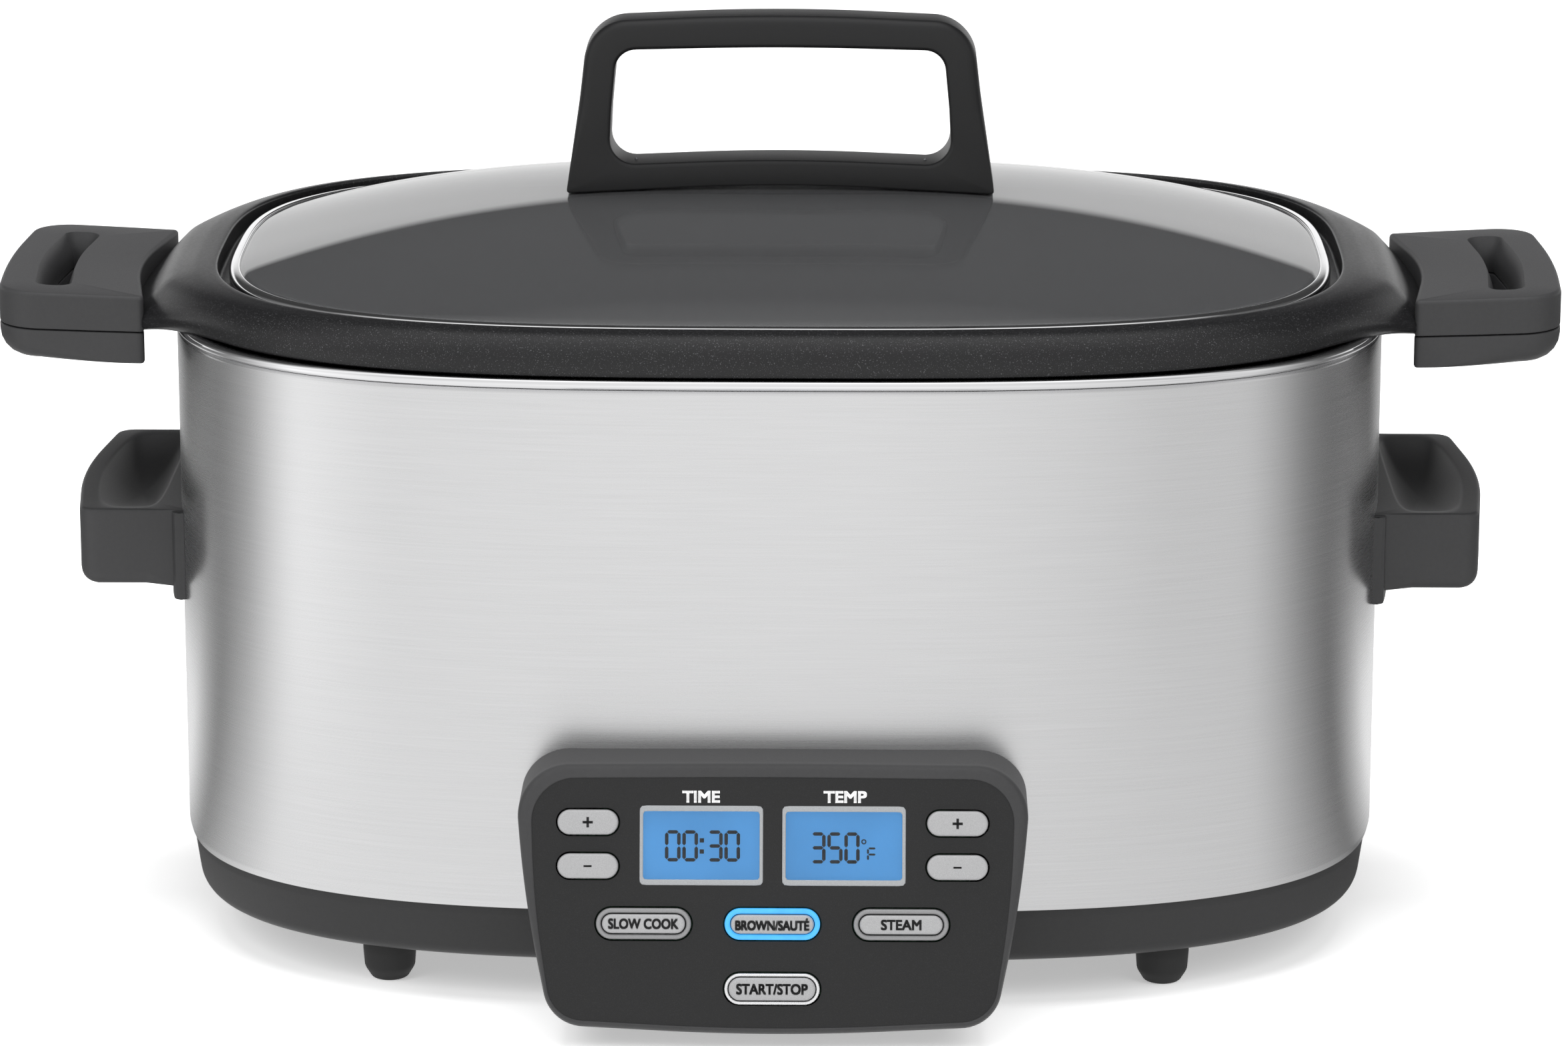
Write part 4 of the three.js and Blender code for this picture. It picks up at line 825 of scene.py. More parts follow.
class Shape:
    """A mesh gathered from grids, then made into one named piece."""

    def __init__(self) -> None:
        """Starts with nothing in it."""
        self.points: list[np.ndarray] = []
        self.faces: list[np.ndarray] = []
        self.count = 0

    def grid(self, rows: np.ndarray, wrap_rows: bool = False, wrap_columns: bool = True) -> "Shape":
        """Adds a grid of points.

        Args:
            rows: (rows, columns, 3) points.
            wrap_rows, wrap_columns: whether it closes on itself.

        Returns:
            The shape, for more.
        """
        self.faces.append(
            sheet_faces(rows.shape[0], rows.shape[1], self.count, wrap_rows, wrap_columns)
        )
        self.points.append(rows.reshape(-1, 3))
        self.count += rows.shape[0] * rows.shape[1]
        return self

    def turned(
        self, profile: np.ndarray, at: Sequence[float] = (0, 0, 0), columns: int = 48,
        closed: bool = False
    ) -> "Shape":
        """Adds a profile turned about an upright axis: (r cos a, r sin a, z).

        Args:
            profile: (n, 2) points of radius and height, open from axis to axis or closed.
            at: where the axis stands.
            columns: steps round it.
            closed: whether the profile joins its start.

        Returns:
            The shape, for more.
        """
        angle = np.linspace(0, 2 * np.pi, columns, endpoint=False)
        radius, height = profile[:, :1], profile[:, 1:]
        rows = np.stack(
            [
                radius * np.cos(angle), radius * np.sin(angle),
                np.broadcast_to(height, (len(profile), columns))
            ], 2
        )
        return self.grid(rows + np.asarray(at, float), wrap_rows=closed)

    def moved(self, change: Callable[[np.ndarray], np.ndarray]) -> "Shape":
        """Passes every point through a function of an (n, 3) array."""
        self.points = [change(points) for points in self.points]
        return self

    def piece(
        self, name: str, body: str, finish: Finish, replaced: Sequence[str] = (),
        sharp: float = 32.0
    ) -> bpy.types.Object:
        """Makes the piece: doubles merged, faces outwards, smooth but for its sharp edges.

        Args:
            name: the piece's name.
            body: the CAD body it rides on.
            finish: its finish.
            replaced: the CAD nodes it stands for.
            sharp: edges that turn by more than this many degrees stay crisp.

        Returns:
            The object.
        """
        mesh = bpy.data.meshes.new(name)
        mesh.from_pydata(np.vstack(self.points).tolist(), [], np.vstack(self.faces).tolist())
        work = bmesh.new()
        work.from_mesh(mesh)
        bmesh.ops.remove_doubles(work, verts=work.verts, dist=2e-7)
        bmesh.ops.dissolve_degenerate(work, edges=work.edges, dist=1e-7)
        bmesh.ops.recalc_face_normals(work, faces=work.faces)
        work.to_mesh(mesh)
        work.free()
        return finished(mesh, name, body, finish, replaced, sharp)


def finished(
    mesh: bpy.types.Mesh, name: str, body: str, finish: Finish, replaced: Sequence[str] = (),
    sharp: float = 32.0
) -> bpy.types.Object:
    """Turns a mesh into a piece that rides on its body.

    Args:
        mesh: the mesh, already in place.
        name, body, finish, replaced, sharp: as for Shape.piece.

    Returns:
        The object.
    """
    mesh.polygons.foreach_set("use_smooth", np.ones(len(mesh.polygons), bool))
    mesh.set_sharp_from_angle(angle=math.radians(sharp))
    mesh.materials.clear()
    mesh.materials.append(finish.material())
    piece = bpy.data.objects.new(name, mesh)
    bpy.context.scene.collection.objects.link(piece)
    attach(piece, body)
    if replaced:
        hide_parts(*replaced)
    log.info("%s: %d faces, rides on %s", name, len(mesh.polygons), body)
    return piece


@dataclass(frozen=True)
class Oval:
    """Nested ovals: superellipses whose half-depth is their half-width less a fixed stretch.

    A point at angle a is (w |sin a|^(2/p), d |cos a|^(2/p)) with the signs of sine and cosine.
    Inside the core the oval shrinks evenly towards its middle.
    """

    centre_y: float
    stretch: float
    power: float
    columns: int = 288

    def half_depth(self, half_width: np.ndarray) -> np.ndarray:
        """Half-depth of the oval of each half-width."""
        core = self.stretch + 45 * MM
        return np.where(
            half_width > core, half_width - self.stretch, half_width * (core - self.stretch) / core
        )

    def unit(self, angle: np.ndarray) -> tuple[np.ndarray, np.ndarray]:
        """The outline's shape at each angle, for a half-width and half-depth of 1."""
        sine, cosine = np.sin(angle), -np.cos(angle)
        share = 2 / self.power
        return np.sign(sine) * np.abs(sine) ** share, np.sign(cosine) * np.abs(cosine) ** share

    def angles(self) -> np.ndarray:
        """Angles whose points lie at even distances along a typical oval."""
        fine = np.linspace(0, 2 * np.pi, 16001)
        x, y = self.unit(fine)
        typical = self.stretch + 120 * MM
        x, y = x * typical, y * (typical - self.stretch)
        along = np.concatenate([[0], np.cumsum(np.hypot(np.diff(x), np.diff(y)))])
        wanted = np.linspace(0, along[-1], self.columns, endpoint=False)
        return np.interp(wanted, along, fine)

    def rows(self, profile: np.ndarray) -> np.ndarray:
        """Carries a profile of (half-width, z) points round the oval.

        Args:
            profile: (n, 2) points.

        Returns:
            (n, columns, 3) points.
        """
        x, y = self.unit(self.angles())
        half_width, z = profile[:, :1], profile[:, 1:]
        return np.stack(
            [
                half_width * x,
                self.half_depth(half_width) * y + self.centre_y,
                np.broadcast_to(z, (len(profile), self.columns)),
            ],
            2,
        )

    def front(self, x: np.ndarray, half_width: float) -> np.ndarray:
        """Y of the oval's front wall at each x."""
        share = np.clip(1 - np.abs(x / half_width) ** self.power, 0, 1) ** (1 / self.power)
        return self.centre_y - self.half_depth(np.array(half_width)) * share

    def side(self, y: np.ndarray, half_width: float) -> np.ndarray:
        """Distance of the oval's end wall from the middle at each y."""
        depth = self.half_depth(np.array(half_width))
        share = np.clip(1 - np.abs((y - self.centre_y) / depth) ** self.power, 0, 1)
        return half_width * share ** (1 / self.power)


def filleted_profile(
    corners: Sequence[tuple[float, float, float]], closed: bool = True, steps: int = 7
) -> np.ndarray:
    """A profile from (half-width, z, corner radius) in millimetres, as points in metres."""
    table = np.array(corners, float) * MM
    return rounded_corners(table[:, :2], table[:, 2], steps, closed)


# ---- Studio -------------------------------------------------------------------------------
@dataclass
class Studio:
    """Camera, pale floor and soft lights."""

    camera_at: tuple[float, float, float] = (0.0278, -1.79805, 0.59154)
    camera_tilt: float = 75.261
    camera_turn: float = 0.845
    lens: float = 139.42
    sensor: float = 36.0
    floor_half: float = 9.0
    sky: float = 0.42
    tent_radius: float = 3.2
    overhead: float = 1.3
    horizon_tones: tuple[tuple[float, float], ...] = (
        (-180, 1.1),
        (-118, 1.0),
        (-98, 0.25),
        (-68, 1.0),
        (0, 0.9),
        (62, 0.75),
        (94, 0.15),
        (118, 1.0),
        (180, 1.1),
    )
    wall_tones: tuple[tuple[float, float], ...] = (
        (-180, 0.05),
        (-135, 0.05),
        (-98, 0.25),
        (-70, 1.15),
        (-40, 0.75),
        (0, 0.95),
        (40, 0.6),
        (66, 0.85),
        (94, 0.16),
        (135, 0.05),
        (180, 0.05),
    )
    sheet_tones: tuple[tuple[float, float], ...] = (
        (-180, 1.1),
        (-160, 0.8),
        (-135, 0.15),
        (-104, 0.2),
        (-84, 0.45),
        (-64, 1.2),
        (-38, 0.95),
        (0, 1.05),
        (38, 0.72),
        (60, 0.72),
        (82, 0.3),
        (100, 0.15),
        (135, 0.08),
        (160, 0.8),
        (180, 1.1),
    )

    def camera(self) -> None:
        """Makes the camera and hands it to the scene."""
        data = bpy.data.cameras.new("camera")
        data.lens, data.sensor_width = self.lens, self.sensor
        data.clip_start, data.clip_end = 0.05, 60
        camera = bpy.data.objects.new("camera", data)
        camera.location = self.camera_at
        camera.rotation_euler = (math.radians(self.camera_tilt), 0, math.radians(self.camera_turn))
        bpy.context.scene.collection.objects.link(camera)
        bpy.context.scene.camera = camera

    def floor(self) -> None:
        """A broad pale floor, just under the feet."""
        half = self.floor_half
        mesh = bpy.data.meshes.new("floor")
        corners = [(-half, -half, 0), (half, -half, 0), (half, half, 0), (-half, half, 0)]
        mesh.from_pydata(corners, [], [(0, 1, 2, 3)])
        graph = Graph("floor_paper")
        mottle = graph.noise(3, 3)
        mesh.materials.append(
            graph.surface(
                Base_Color=graph.blend(mottle, (0.9, 0.9, 0.9), (0.92, 0.92, 0.92)),
                Roughness=0.7,
                Specular_IOR_Level=0.1,
                Emission_Color=(1.0, 1.0, 1.0),
                Emission_Strength=0.4,
            )
        )
        floor = bpy.data.objects.new("floor", mesh)
        bpy.context.scene.collection.objects.link(floor)

    def sky_light(self) -> None:
        """An even white surround."""
        world = bpy.data.worlds.new("surround")
        world.use_nodes = True
        background = world.node_tree.nodes["Background"]
        background.inputs["Color"].default_value = (1, 1, 1, 1)
        background.inputs["Strength"].default_value = self.sky
        bpy.context.scene.world = world

    def panel_light(
        self, name: str, at: tuple[float, float, float], size: tuple[float, float], power: float
    ) -> None:
        """A soft box that faces the middle of the cooker.

        Args:
            name: the lamp's name.
            at: where it hangs.
            size: its width and height.
            power: watts.
        """
        data = bpy.data.lights.new(name, "AREA")
        data.shape = "RECTANGLE"
        data.size, data.size_y = size
        data.energy = power
        lamp = bpy.data.objects.new(name, data)
        lamp.visible_glossy = False
        lamp.location = at
        aim = np.array([0, 0, 0.12]) - np.array(at)
        drop = math.acos(-aim[2] / np.linalg.norm(aim))
        lamp.rotation_euler = (drop, 0, math.atan2(-aim[0], aim[1]))
        bpy.context.scene.collection.objects.link(lamp)

    def tent_light(
        self, name: str, stops: Sequence[tuple[float, float]], overhead: float
    ) -> bpy.types.Material:
        """Light of the tent: it changes with the bearing, bright along its foot and overhead.

        Args:
            name: the material's name.
            stops: (bearing in degrees from the front, positive to the right, tone) pairs.
            overhead: the tone straight up.

        Returns:
            The material.
        """
        graph = Graph(name)
        place = graph.where()
        split = graph.tree.nodes.new("ShaderNodeSeparateXYZ")
        graph.tree.links.new(place.socket, split.inputs[0])
        x, y, z = (Value(graph, out) for out in split.outputs)
        bearing = x.math("ARCTAN2", x, y * -1.0) * (0.5 / math.pi) + 0.5
        around, horizon = (
            graph.add(
                "ShaderNodeValToRGB",
                {"stops": [((angle + 180) / 360, (tone,) * 3) for angle, tone in tones]},
                {0: bearing},
            )
            for tones in (stops, self.horizon_tones)
        )
        climb = z.math("ARCTAN2", z, x.math("SQRT", x * x + y * y))
        walls = graph.blend(climb.span(0.002, 0.004) * climb.span(0.27, 0.3, 1, 0), around, horizon)
        graph.surface(
            Base_Color=(0.0, 0.0, 0.0),
            Roughness=1.0,
            Specular_IOR_Level=0.0,
            Emission_Color=graph.blend(climb.span(0.95, 1.35), walls, (overhead,) * 3),
            Emission_Strength=1.0,
        )
        graph.material.cycles.emission_sampling = "NONE"
        return graph.material

    def tent(self) -> None:
        """A light tent that only reflections see: a dome, and a sheet on the floor inside it."""
        angle = np.linspace(0, 2 * np.pi, 64, endpoint=False)
        circle = np.stack([np.cos(angle), np.sin(angle)], 1)
        climb = np.linspace(0, np.pi / 2, 17)
        dome = np.array(
            [lifted(circle * math.cos(c), math.sin(c)) for c in climb]
        ) * self.tent_radius
        sheet = np.array(
            [lifted(circle * r, 0.0015) for r in (0, 0.25, 0.6, 1.2, self.tent_radius)]
        )
        tones = {
            "tent_dome": (dome, self.wall_tones, self.overhead),
            "tent_sheet": (sheet, self.sheet_tones, 1.0),
        }
        for name, (rows, stops, overhead) in tones.items():
            mesh = bpy.data.meshes.new(name)
            mesh.from_pydata(
                rows.reshape(-1, 3).tolist(), [], sheet_faces(
                    *rows.shape[:2], 0, False, True
                ).tolist()
            )
            mesh.materials.append(self.tent_light(name + "_light", stops, overhead))
            cloth = bpy.data.objects.new(name, mesh)
            for ray in ("camera", "diffuse", "transmission", "volume_scatter", "shadow"):
                setattr(cloth, f"visible_{ray}", False)
            bpy.context.scene.collection.objects.link(cloth)

    def build(self) -> None:
        """Sets the whole studio up."""
        self.camera()
        self.floor()
        self.sky_light()
        self.tent()
        self.panel_light("lamp_left", (-1.3, -1.3, 1.6), (0.9, 1.3), 19)
        self.panel_light("lamp_right", (1.3, -1.3, 1.6), (0.9, 1.3), 17)
        self.panel_light("lamp_top", (0, 0.1, 1.9), (1.6, 1.2), 44)
        scene = bpy.context.scene
        scene.view_settings.view_transform = "Standard"


# ---- Housing ------------------------------------------------------------------------------
@dataclass
class Housing:
    """Steel shell, polished ring, base, feet, well, element, sensor and gland."""

    oval: Oval
    body: str = "housing"
    half_width: float = 182.0
    shell_low: float = 30.1
    shell_high: float = 186.6
    wall: float = 1.0
    trim_proud: float = 0.9
    trim_low: float = 186.9
    trim_high: float = 189.6
    base_low: float = 13.1
    base_inset: float = 1.5
    foot_radius: float = 7.9
    foot_high: float = 12.8
    well_inner: float = 168.0
    well_floor: float = 60.0
    element_half_width: float = 120.0
    element_z: float = 67.0
    element_radius: float = 4.0
    terminal_x: float = 14.0

    def shell(self) -> None:
        """The brushed wrap: a thin wall with rolled edges, turned in a little below."""
        w, t, low, high = self.half_width, self.wall, self.shell_low, self.shell_high
        profile = filleted_profile(
            [
                (w - 1.4, low, 0.3),
                (w - 0.55, low, 0.35),
                (w, low + 2.2, 3.0),
                (w, high - 0.9, 1.2),
                (w - 0.7, high, 0.4),
                (w - 1.6, high, 0.3),
                (w - t - 0.6, high - 2, 1.5),
                (w - t - 0.6, low + 2.6, 2.0),
            ]
        )
        Shape().grid(self.oval.rows(profile), wrap_rows=True).piece(
            "shell_wrap", self.body, Finishes.shell, ["outer_shell"]
        )

    def trim(self) -> None:
        """The bright ring on the shell's top edge: a half-round bead with a flat land inside."""
        w, low, high = self.half_width + self.trim_proud, self.trim_low, self.trim_high
        profile = filleted_profile(
            [
                (w - 2.2, low, 0.2),
                (w, low, 1.3),
                (w, high, 1.3),
                (w - 3.4, high, 1.2),
                (w - 4.4, high - 0.6, 0.8),
                (self.well_inner + 0.8, high - 0.6, 0.5),
                (self.well_inner + 0.8, low, 0.2),
            ]
        )
        Shape().grid(self.oval.rows(profile), wrap_rows=True).piece(
            "top_ring", self.body, Finishes.bright, ["trim_ring"]
        )

    def base(self) -> None:
        """The base, its grey darkened by painted shade: a skirt with a full round under edge, a
        stepped sole and vent ribs.
        """
        w, low = self.half_width - self.base_inset, self.base_low
        profile = filleted_profile(
            [
                (0.01, low + 1.4, 0),
                (96, low + 1.4, 0.6),
                (98, low, 0.6),
                (w - 2.0, low, 4.5),
                (w, low + 14.5, 7.0),
                (w, self.shell_low + 4.8, 0.5),
                (w - 2.5, self.shell_low + 4.8, 0.5),
                (w - 2.5, low + 9, 6),
                (w - 12, low + 2.9, 4),
                (0.01, low + 2.9, 0),
            ],
            closed=False,
            steps=9,
        )
        shape = Shape().grid(self.oval.rows(profile))
        for x in np.arange(-6, 7) * 9.0 * MM:
            slat = self.bar_profile(1.5 * MM, 34 * MM)
            rows = slab_rows(
                slat + [x, self.oval.centre_y], (low + 0.3) * MM, (low + 2) * MM, 0.5 * MM,
                0.1 * MM, 3
            )
            cap = shrunk(rows[0], [0.5, 0], np.array([x, self.oval.centre_y]))[::-1]
            shape.grid(np.concatenate([cap, rows]))
        # The base's finish carries painted shade in its darker grey.
        shape.piece("base_skirt", self.body, Finishes.sole, ["base_pan"])

    @staticmethod
    def bar_profile(half_width: float, half_length: float, count: int = 24) -> np.ndarray:
        """Plan of a bar with round ends, along Y."""
        angle = np.linspace(0, 2 * np.pi, count, endpoint=False) + np.pi / count
        straight = np.sign(np.sin(angle)) * (half_length - half_width)
        return np.stack([half_width * np.cos(angle), half_width * np.sin(angle) + straight], 1)

    def feet(self) -> None:
        """Round rubber feet with a rounded rim and a dished sole."""
        r, high = self.foot_radius, self.foot_high
        profile = filleted_profile(
            [
                (0.01, 0.5, 0),
                (r - 5.4, 0.5, 0.3),
                (r - 4.9, 0, 0.3),
                (r - 2.6, 0, 1.6),
                (r - 0.4, 3.6, 3.4),
                (r, 9.0, 3.0),
                (r, high + 0.5, 0.5),
                (0.01, high + 0.5, 0),
            ],
            closed=False,
        )
        for place in ("front_left", "front_right", "rear_left", "rear_right"):
            low, far = node_box(f"foot_{place}")
            at = ((low[0] + far[0]) / 2, (low[1] + far[1]) / 2, 0)
            Shape().turned(profile, at).piece(
                f"foot_{place}_rubber", self.body, Finishes.rubber, [f"foot_{place}"]
            )

    def well(self) -> None:
        """The drawn aluminium tub that the pot hangs in, with a pressed ring round the sensor."""
        w, floor, t = self.well_inner, self.well_floor, 1.0
        lip = self.half_width - self.wall - 0.9
        lip_top = self.shell_high - 0.3
        profile = filleted_profile(
            [
                (0.01, floor, 0),
                (17, floor, 1.0),
                (19.5, floor + 1.6, 1.0),
                (23, floor + 1.6, 1.0),
                (25.5, floor, 1.0),
                (88, floor, 2.0),
                (91, floor - 0.9, 2.0),
                (w, floor - 0.9, 13.0),
                (w, lip_top, 1.6),
                (lip, lip_top, 0.5),
                (lip, lip_top - 1.2, 0.5),
                (w + t, lip_top - 1.2, 1.5),
                (w + t, floor - 1.2, 14.0),
                (0.01, floor - 1.2, 0),
            ],
            closed=False,
            steps=9,
        )
        Shape().grid(self.oval.rows(profile)).piece(
            "heating_tub", self.body, Finishes.sheet, ["heating_well"]
        )

    def element(self) -> None:
        """The sheathed element: a tube round the well, open at the back between its terminals."""
        centre = self.oval.rows(np.array([[self.element_half_width, self.element_z]]) * MM)[0]
        back = centre[:, 1] > self.oval.centre_y + 20 * MM
        near = np.abs(centre[:, 0]) < (self.terminal_x + 7) * MM
        keep = np.roll(~(back & near), -int(np.argmax(back & near)))
        run = np.roll(centre, -int(np.argmax(back & near)), 0)[keep]
        tip_y = run[0, 1]
        side = np.sign(run[0, 0])
        bend = np.linspace(0, np.pi / 2, 7)[1:]
        radius = 7 * MM
        drop = np.array([0, 0, (self.element_z - 48) * MM])

        def terminal(sign: float) -> np.ndarray:
            """The turn from level to straight down, and the straight end."""
            x = sign * (self.terminal_x * MM + radius - radius * np.sin(bend))
            z = self.element_z * MM - radius * (1 - np.cos(bend))
            arc = np.stack([x, np.full_like(x, tip_y), z], 1)
            return np.vstack([arc, arc[-1] - drop])

        path = np.vstack([terminal(side)[::-1], run, terminal(-side)])
        Shape().grid(self.tube(path, self.element_radius * MM)).piece(
            "element_tube", self.body, Finishes.sheath, ["heating_element"]
        )

    @staticmethod
    def tube(path: np.ndarray, radius: float, columns: int = 16) -> np.ndarray:
        """A round tube along a path, its sections square to the path, closed to a point at each
        end.

        Args:
            path: (n, 3) points.
            radius: the tube's radius.
            columns: points round it.

        Returns:
            (n + 2, columns, 3) rows.
        """
        along = np.gradient(path, axis=0)
        along /= np.linalg.norm(along, axis=1, keepdims=True)
        first = np.cross(along, [0.0, 0.0, 1.0])
        flat = np.linalg.norm(first, axis=1) < 0.05
        first[flat] = np.cross(along[flat], [0.0, 1.0, 0.0])
        first /= np.linalg.norm(first, axis=1, keepdims=True)
        keep = np.sign((first[1:] * first[:-1]).sum(1))
        first[1:] *= np.cumprod(np.where(keep == 0, 1, keep)).reshape(-1, 1)
        second = np.cross(along, first)
        angle = np.linspace(0, 2 * np.pi, columns, endpoint=False).reshape(1, -1, 1)
        ring = path[:, None] + radius * (
            first[:, None] * np.cos(angle) + second[:, None] * np.sin(angle)
        )
        ends = np.broadcast_to(path[[0, -1], None], (2, columns, 3))
        return np.concatenate([ends[:1], ring, ends[1:]])

    def sensor(self) -> None:
        """The sprung sensor's cap and stem."""
        low, high = node_box("sensor_plunger")
        top, bottom = high[2] / MM, low[2] / MM
        profile = filleted_profile(
            [
                (0.01, bottom, 0),
                (3.4, bottom, 0.4),
                (3.4, top - 3.0, 0.3),
                (10.9, top - 3.0, 0.4),
                (10.9, top, 1.1),
                (7.4, top, 0.3),
                (7.0, top - 0.35, 0.2),
                (6.4, top - 0.35, 0.2),
                (6.0, top, 0.3),
                (0.01, top, 0),
            ],
            closed=False,
        )
        middle = (low + high) / 2
        Shape().turned(profile, (middle[0], middle[1], 0)).piece(
            "sensor_cap", "sensor", Finishes.sheet, ["sensor_plunger"]
        )

    def gland(self) -> None:
        """The rear cord gland: a ribbed rubber bush with an open bore."""
        low, high = node_box("cord_gland")
        length = (high[1] - low[1]) / MM
        radius = (high[2] - low[2]) / 2 / MM
        profile = filleted_profile(
            [
                (3.5, 0, 0.3),
                (5.3, 0, 0.3),
                (5.3, length - 2.4, 0.2),
                (radius, length - 2.4, 0.4),
                (radius, length - 0.9, 0.8),
                (radius - 1.4, length, 0.5),
                (3.5, length, 0.6),
            ]
        )
        middle = (low + high) / 2
        shape = Shape().turned(profile, columns=40, closed=True)
        shape.moved(
            lambda p: np.stack([p[:, 0] + middle[0], p[:, 2] + low[1], p[:, 1] + middle[2]], 1)
        )
        shape.piece("cord_gland_bush", self.body, Finishes.rubber, ["cord_gland"])

    def build(self) -> None:
        """Makes every piece."""
        self.shell()
        self.trim()
        self.base()
        self.feet()
        self.well()
        self.element()
        self.sensor()
        self.gland()


@dataclass
class SideHandle:
    """A scooped grip on a flange that hugs the shell."""

    oval: Oval
    side: int
    half_width: float = 182.0
    reach: float = 28.4
    bow: float = 2.9
    corner: float = 6.0
    half_depth: float = 51.0
    top: float = 130.5
    height: float = 24.0
    lower_round: float = 5.0
    upper_round: float = 1.3
    land: float = 5.6
    scoop_depth: float = 7.5
    scoop_inner: float = 187.2
    flange: float = 3.2
    flange_half: float = 53.5
    flange_drop: float = 3.5
    columns: int = 160

    def plan(self, grow: float = 0.0, inner: float | None = None) -> np.ndarray:
        """Plan of the grip on the right, or of the scoop inside it.

        Args:
            grow: how far the curved side moves outwards, in millimetres.
            inner: x where the straight side lies; the shell's wall when None.

        Returns:
            (n, 2) counter-clockwise points, with y about the oval's middle.
        """
        end, side = self.half_depth + grow, self.half_width + self.reach + grow
        core = self.half_width - 20
        table = np.array(
            [
                (core, -end, 0),
                (side, -end, self.corner),
                (side + 1.9 * self.bow, 0, 300),
                (side, end, self.corner),
                (core, end, 0),
            ]
        )
        line = rounded_corners(table[:, :2], table[:, 2], 60, closed=False)
        x, y = evenly(line, 2001, closed=False).T
        wall = self.oval.side(self.oval.centre_y + y * MM, self.half_width * MM) / MM - 0.6
        start = wall if inner is None else np.full_like(wall, inner)
        curve = np.stack([x, y], 1)[x > start]
        low, high = curve[0, 1], curve[-1, 1]
        back = np.linspace(high, low, 61)
        edge = self.oval.side(self.oval.centre_y + back * MM, self.half_width * MM) / MM - 0.6
        line = np.stack([edge if inner is None else np.full_like(back, inner), back], 1)
        return np.vstack([curve, line[1:-1]]) * MM

    def grip(self) -> np.ndarray:
        """Rows from the underside's middle, up the wall, over the land and down the scoop."""
        outline = quartered(self.plan(), self.columns)
        from_wall = np.clip((outline[:, 0] - (self.half_width - 1) * MM) / (10 * MM), 0, 1)
        lower = (0.3 + (self.lower_round - 0.3) * from_wall) * MM
        upper = (0.2 + (self.upper_round - 0.2) * from_wall) * MM
        walls = slab_rows(
            outline, (
                self.top - self.height
            ) * MM, self.top * MM, lower.reshape(-1), upper.reshape(-1), 7
        )
        centre = np.array([self.half_width + 12, 0]) * MM
        under = shrunk(walls[0], np.linspace(0, 0.9, 4), centre)
        mouth = quartered(self.plan(-self.land, self.scoop_inner), self.columns)
        middle = mouth.mean(0)
        softened = self.soften(mouth)
        share = np.concatenate([[1.09, 1.045], np.cos(np.linspace(0.0, np.pi / 2, 22))])
        depth = np.where(share >= 1, 0, self.scoop_depth * (1 - share**2)) * MM
        depth[0], depth[1], depth[2] = 0.0, 0.12 * MM, 0.5 * MM
        depth[3:] += 0.5 * MM
        centre_line = np.stack(
            [np.full(self.columns, middle[0]), np.full(self.columns, middle[1])], 1
        )
        bowl = np.array(
            [
                lifted(centre_line + (softened - centre_line) * k, self.top * MM - d)
                for k, d in zip(share, depth)
            ]
        )
        return np.concatenate([under, walls, bowl])

    @staticmethod
    def soften(outline: np.ndarray, passes: int = 60) -> np.ndarray:
        """Rounds an outline's corners by averaging each point with its neighbours."""
        for _ in range(passes):
            outline = 0.5 * outline + 0.25 * (np.roll(outline, 1, 0) + np.roll(outline, -1, 0))
        return outline

    def flange_rows(self) -> np.ndarray:
        """A thin band against the shell that shows past the grip's ends and below it."""
        y = np.linspace(-self.flange_half, self.flange_half, 61) * MM
        outside = self.oval.side(self.oval.centre_y + y, (self.half_width + self.flange) * MM)
        inside = self.oval.side(self.oval.centre_y + y, (self.half_width - 0.5) * MM)
        plan = np.vstack([np.stack([outside, y], 1), np.stack([inside, y], 1)[::-1]])
        plan = rounded_corners(plan, np.where(np.isin(np.arange(122), [0, 60]), 1.2 * MM, 0), 5)
        plan = evenly(plan, self.columns)
        low = (self.top - self.height - self.flange_drop) * MM
        rows = slab_rows(plan, low, (self.top - 0.4) * MM, 0.7 * MM, 0.5 * MM, 4)
        spine = np.stack(
            [
                (np.interp(plan[:, 1], y, outside) + np.interp(plan[:, 1], y, inside)) / 2,
                plan[:, 1]
            ],
            1
        )
        bottom = np.concatenate([lifted(spine, rows[0][0, 2])[None]])
        top = np.concatenate([lifted(spine, rows[-1][0, 2])[None]])
        return np.concatenate([bottom, rows, top])

    def build(self) -> None:
        """Makes the handle on its side of the cooker."""
        name = "right" if self.side > 0 else "left"
        shape = Shape().grid(self.grip()).grid(self.flange_rows())
        turn = np.array([self.side, self.side, 1.0])
        shape.moved(lambda p: p * turn + np.array([0, self.oval.centre_y, 0]))
        shape.piece(
            f"side_grip_{name}", "housing", Finishes.grey, [f"side_handle_{name}"]
        )


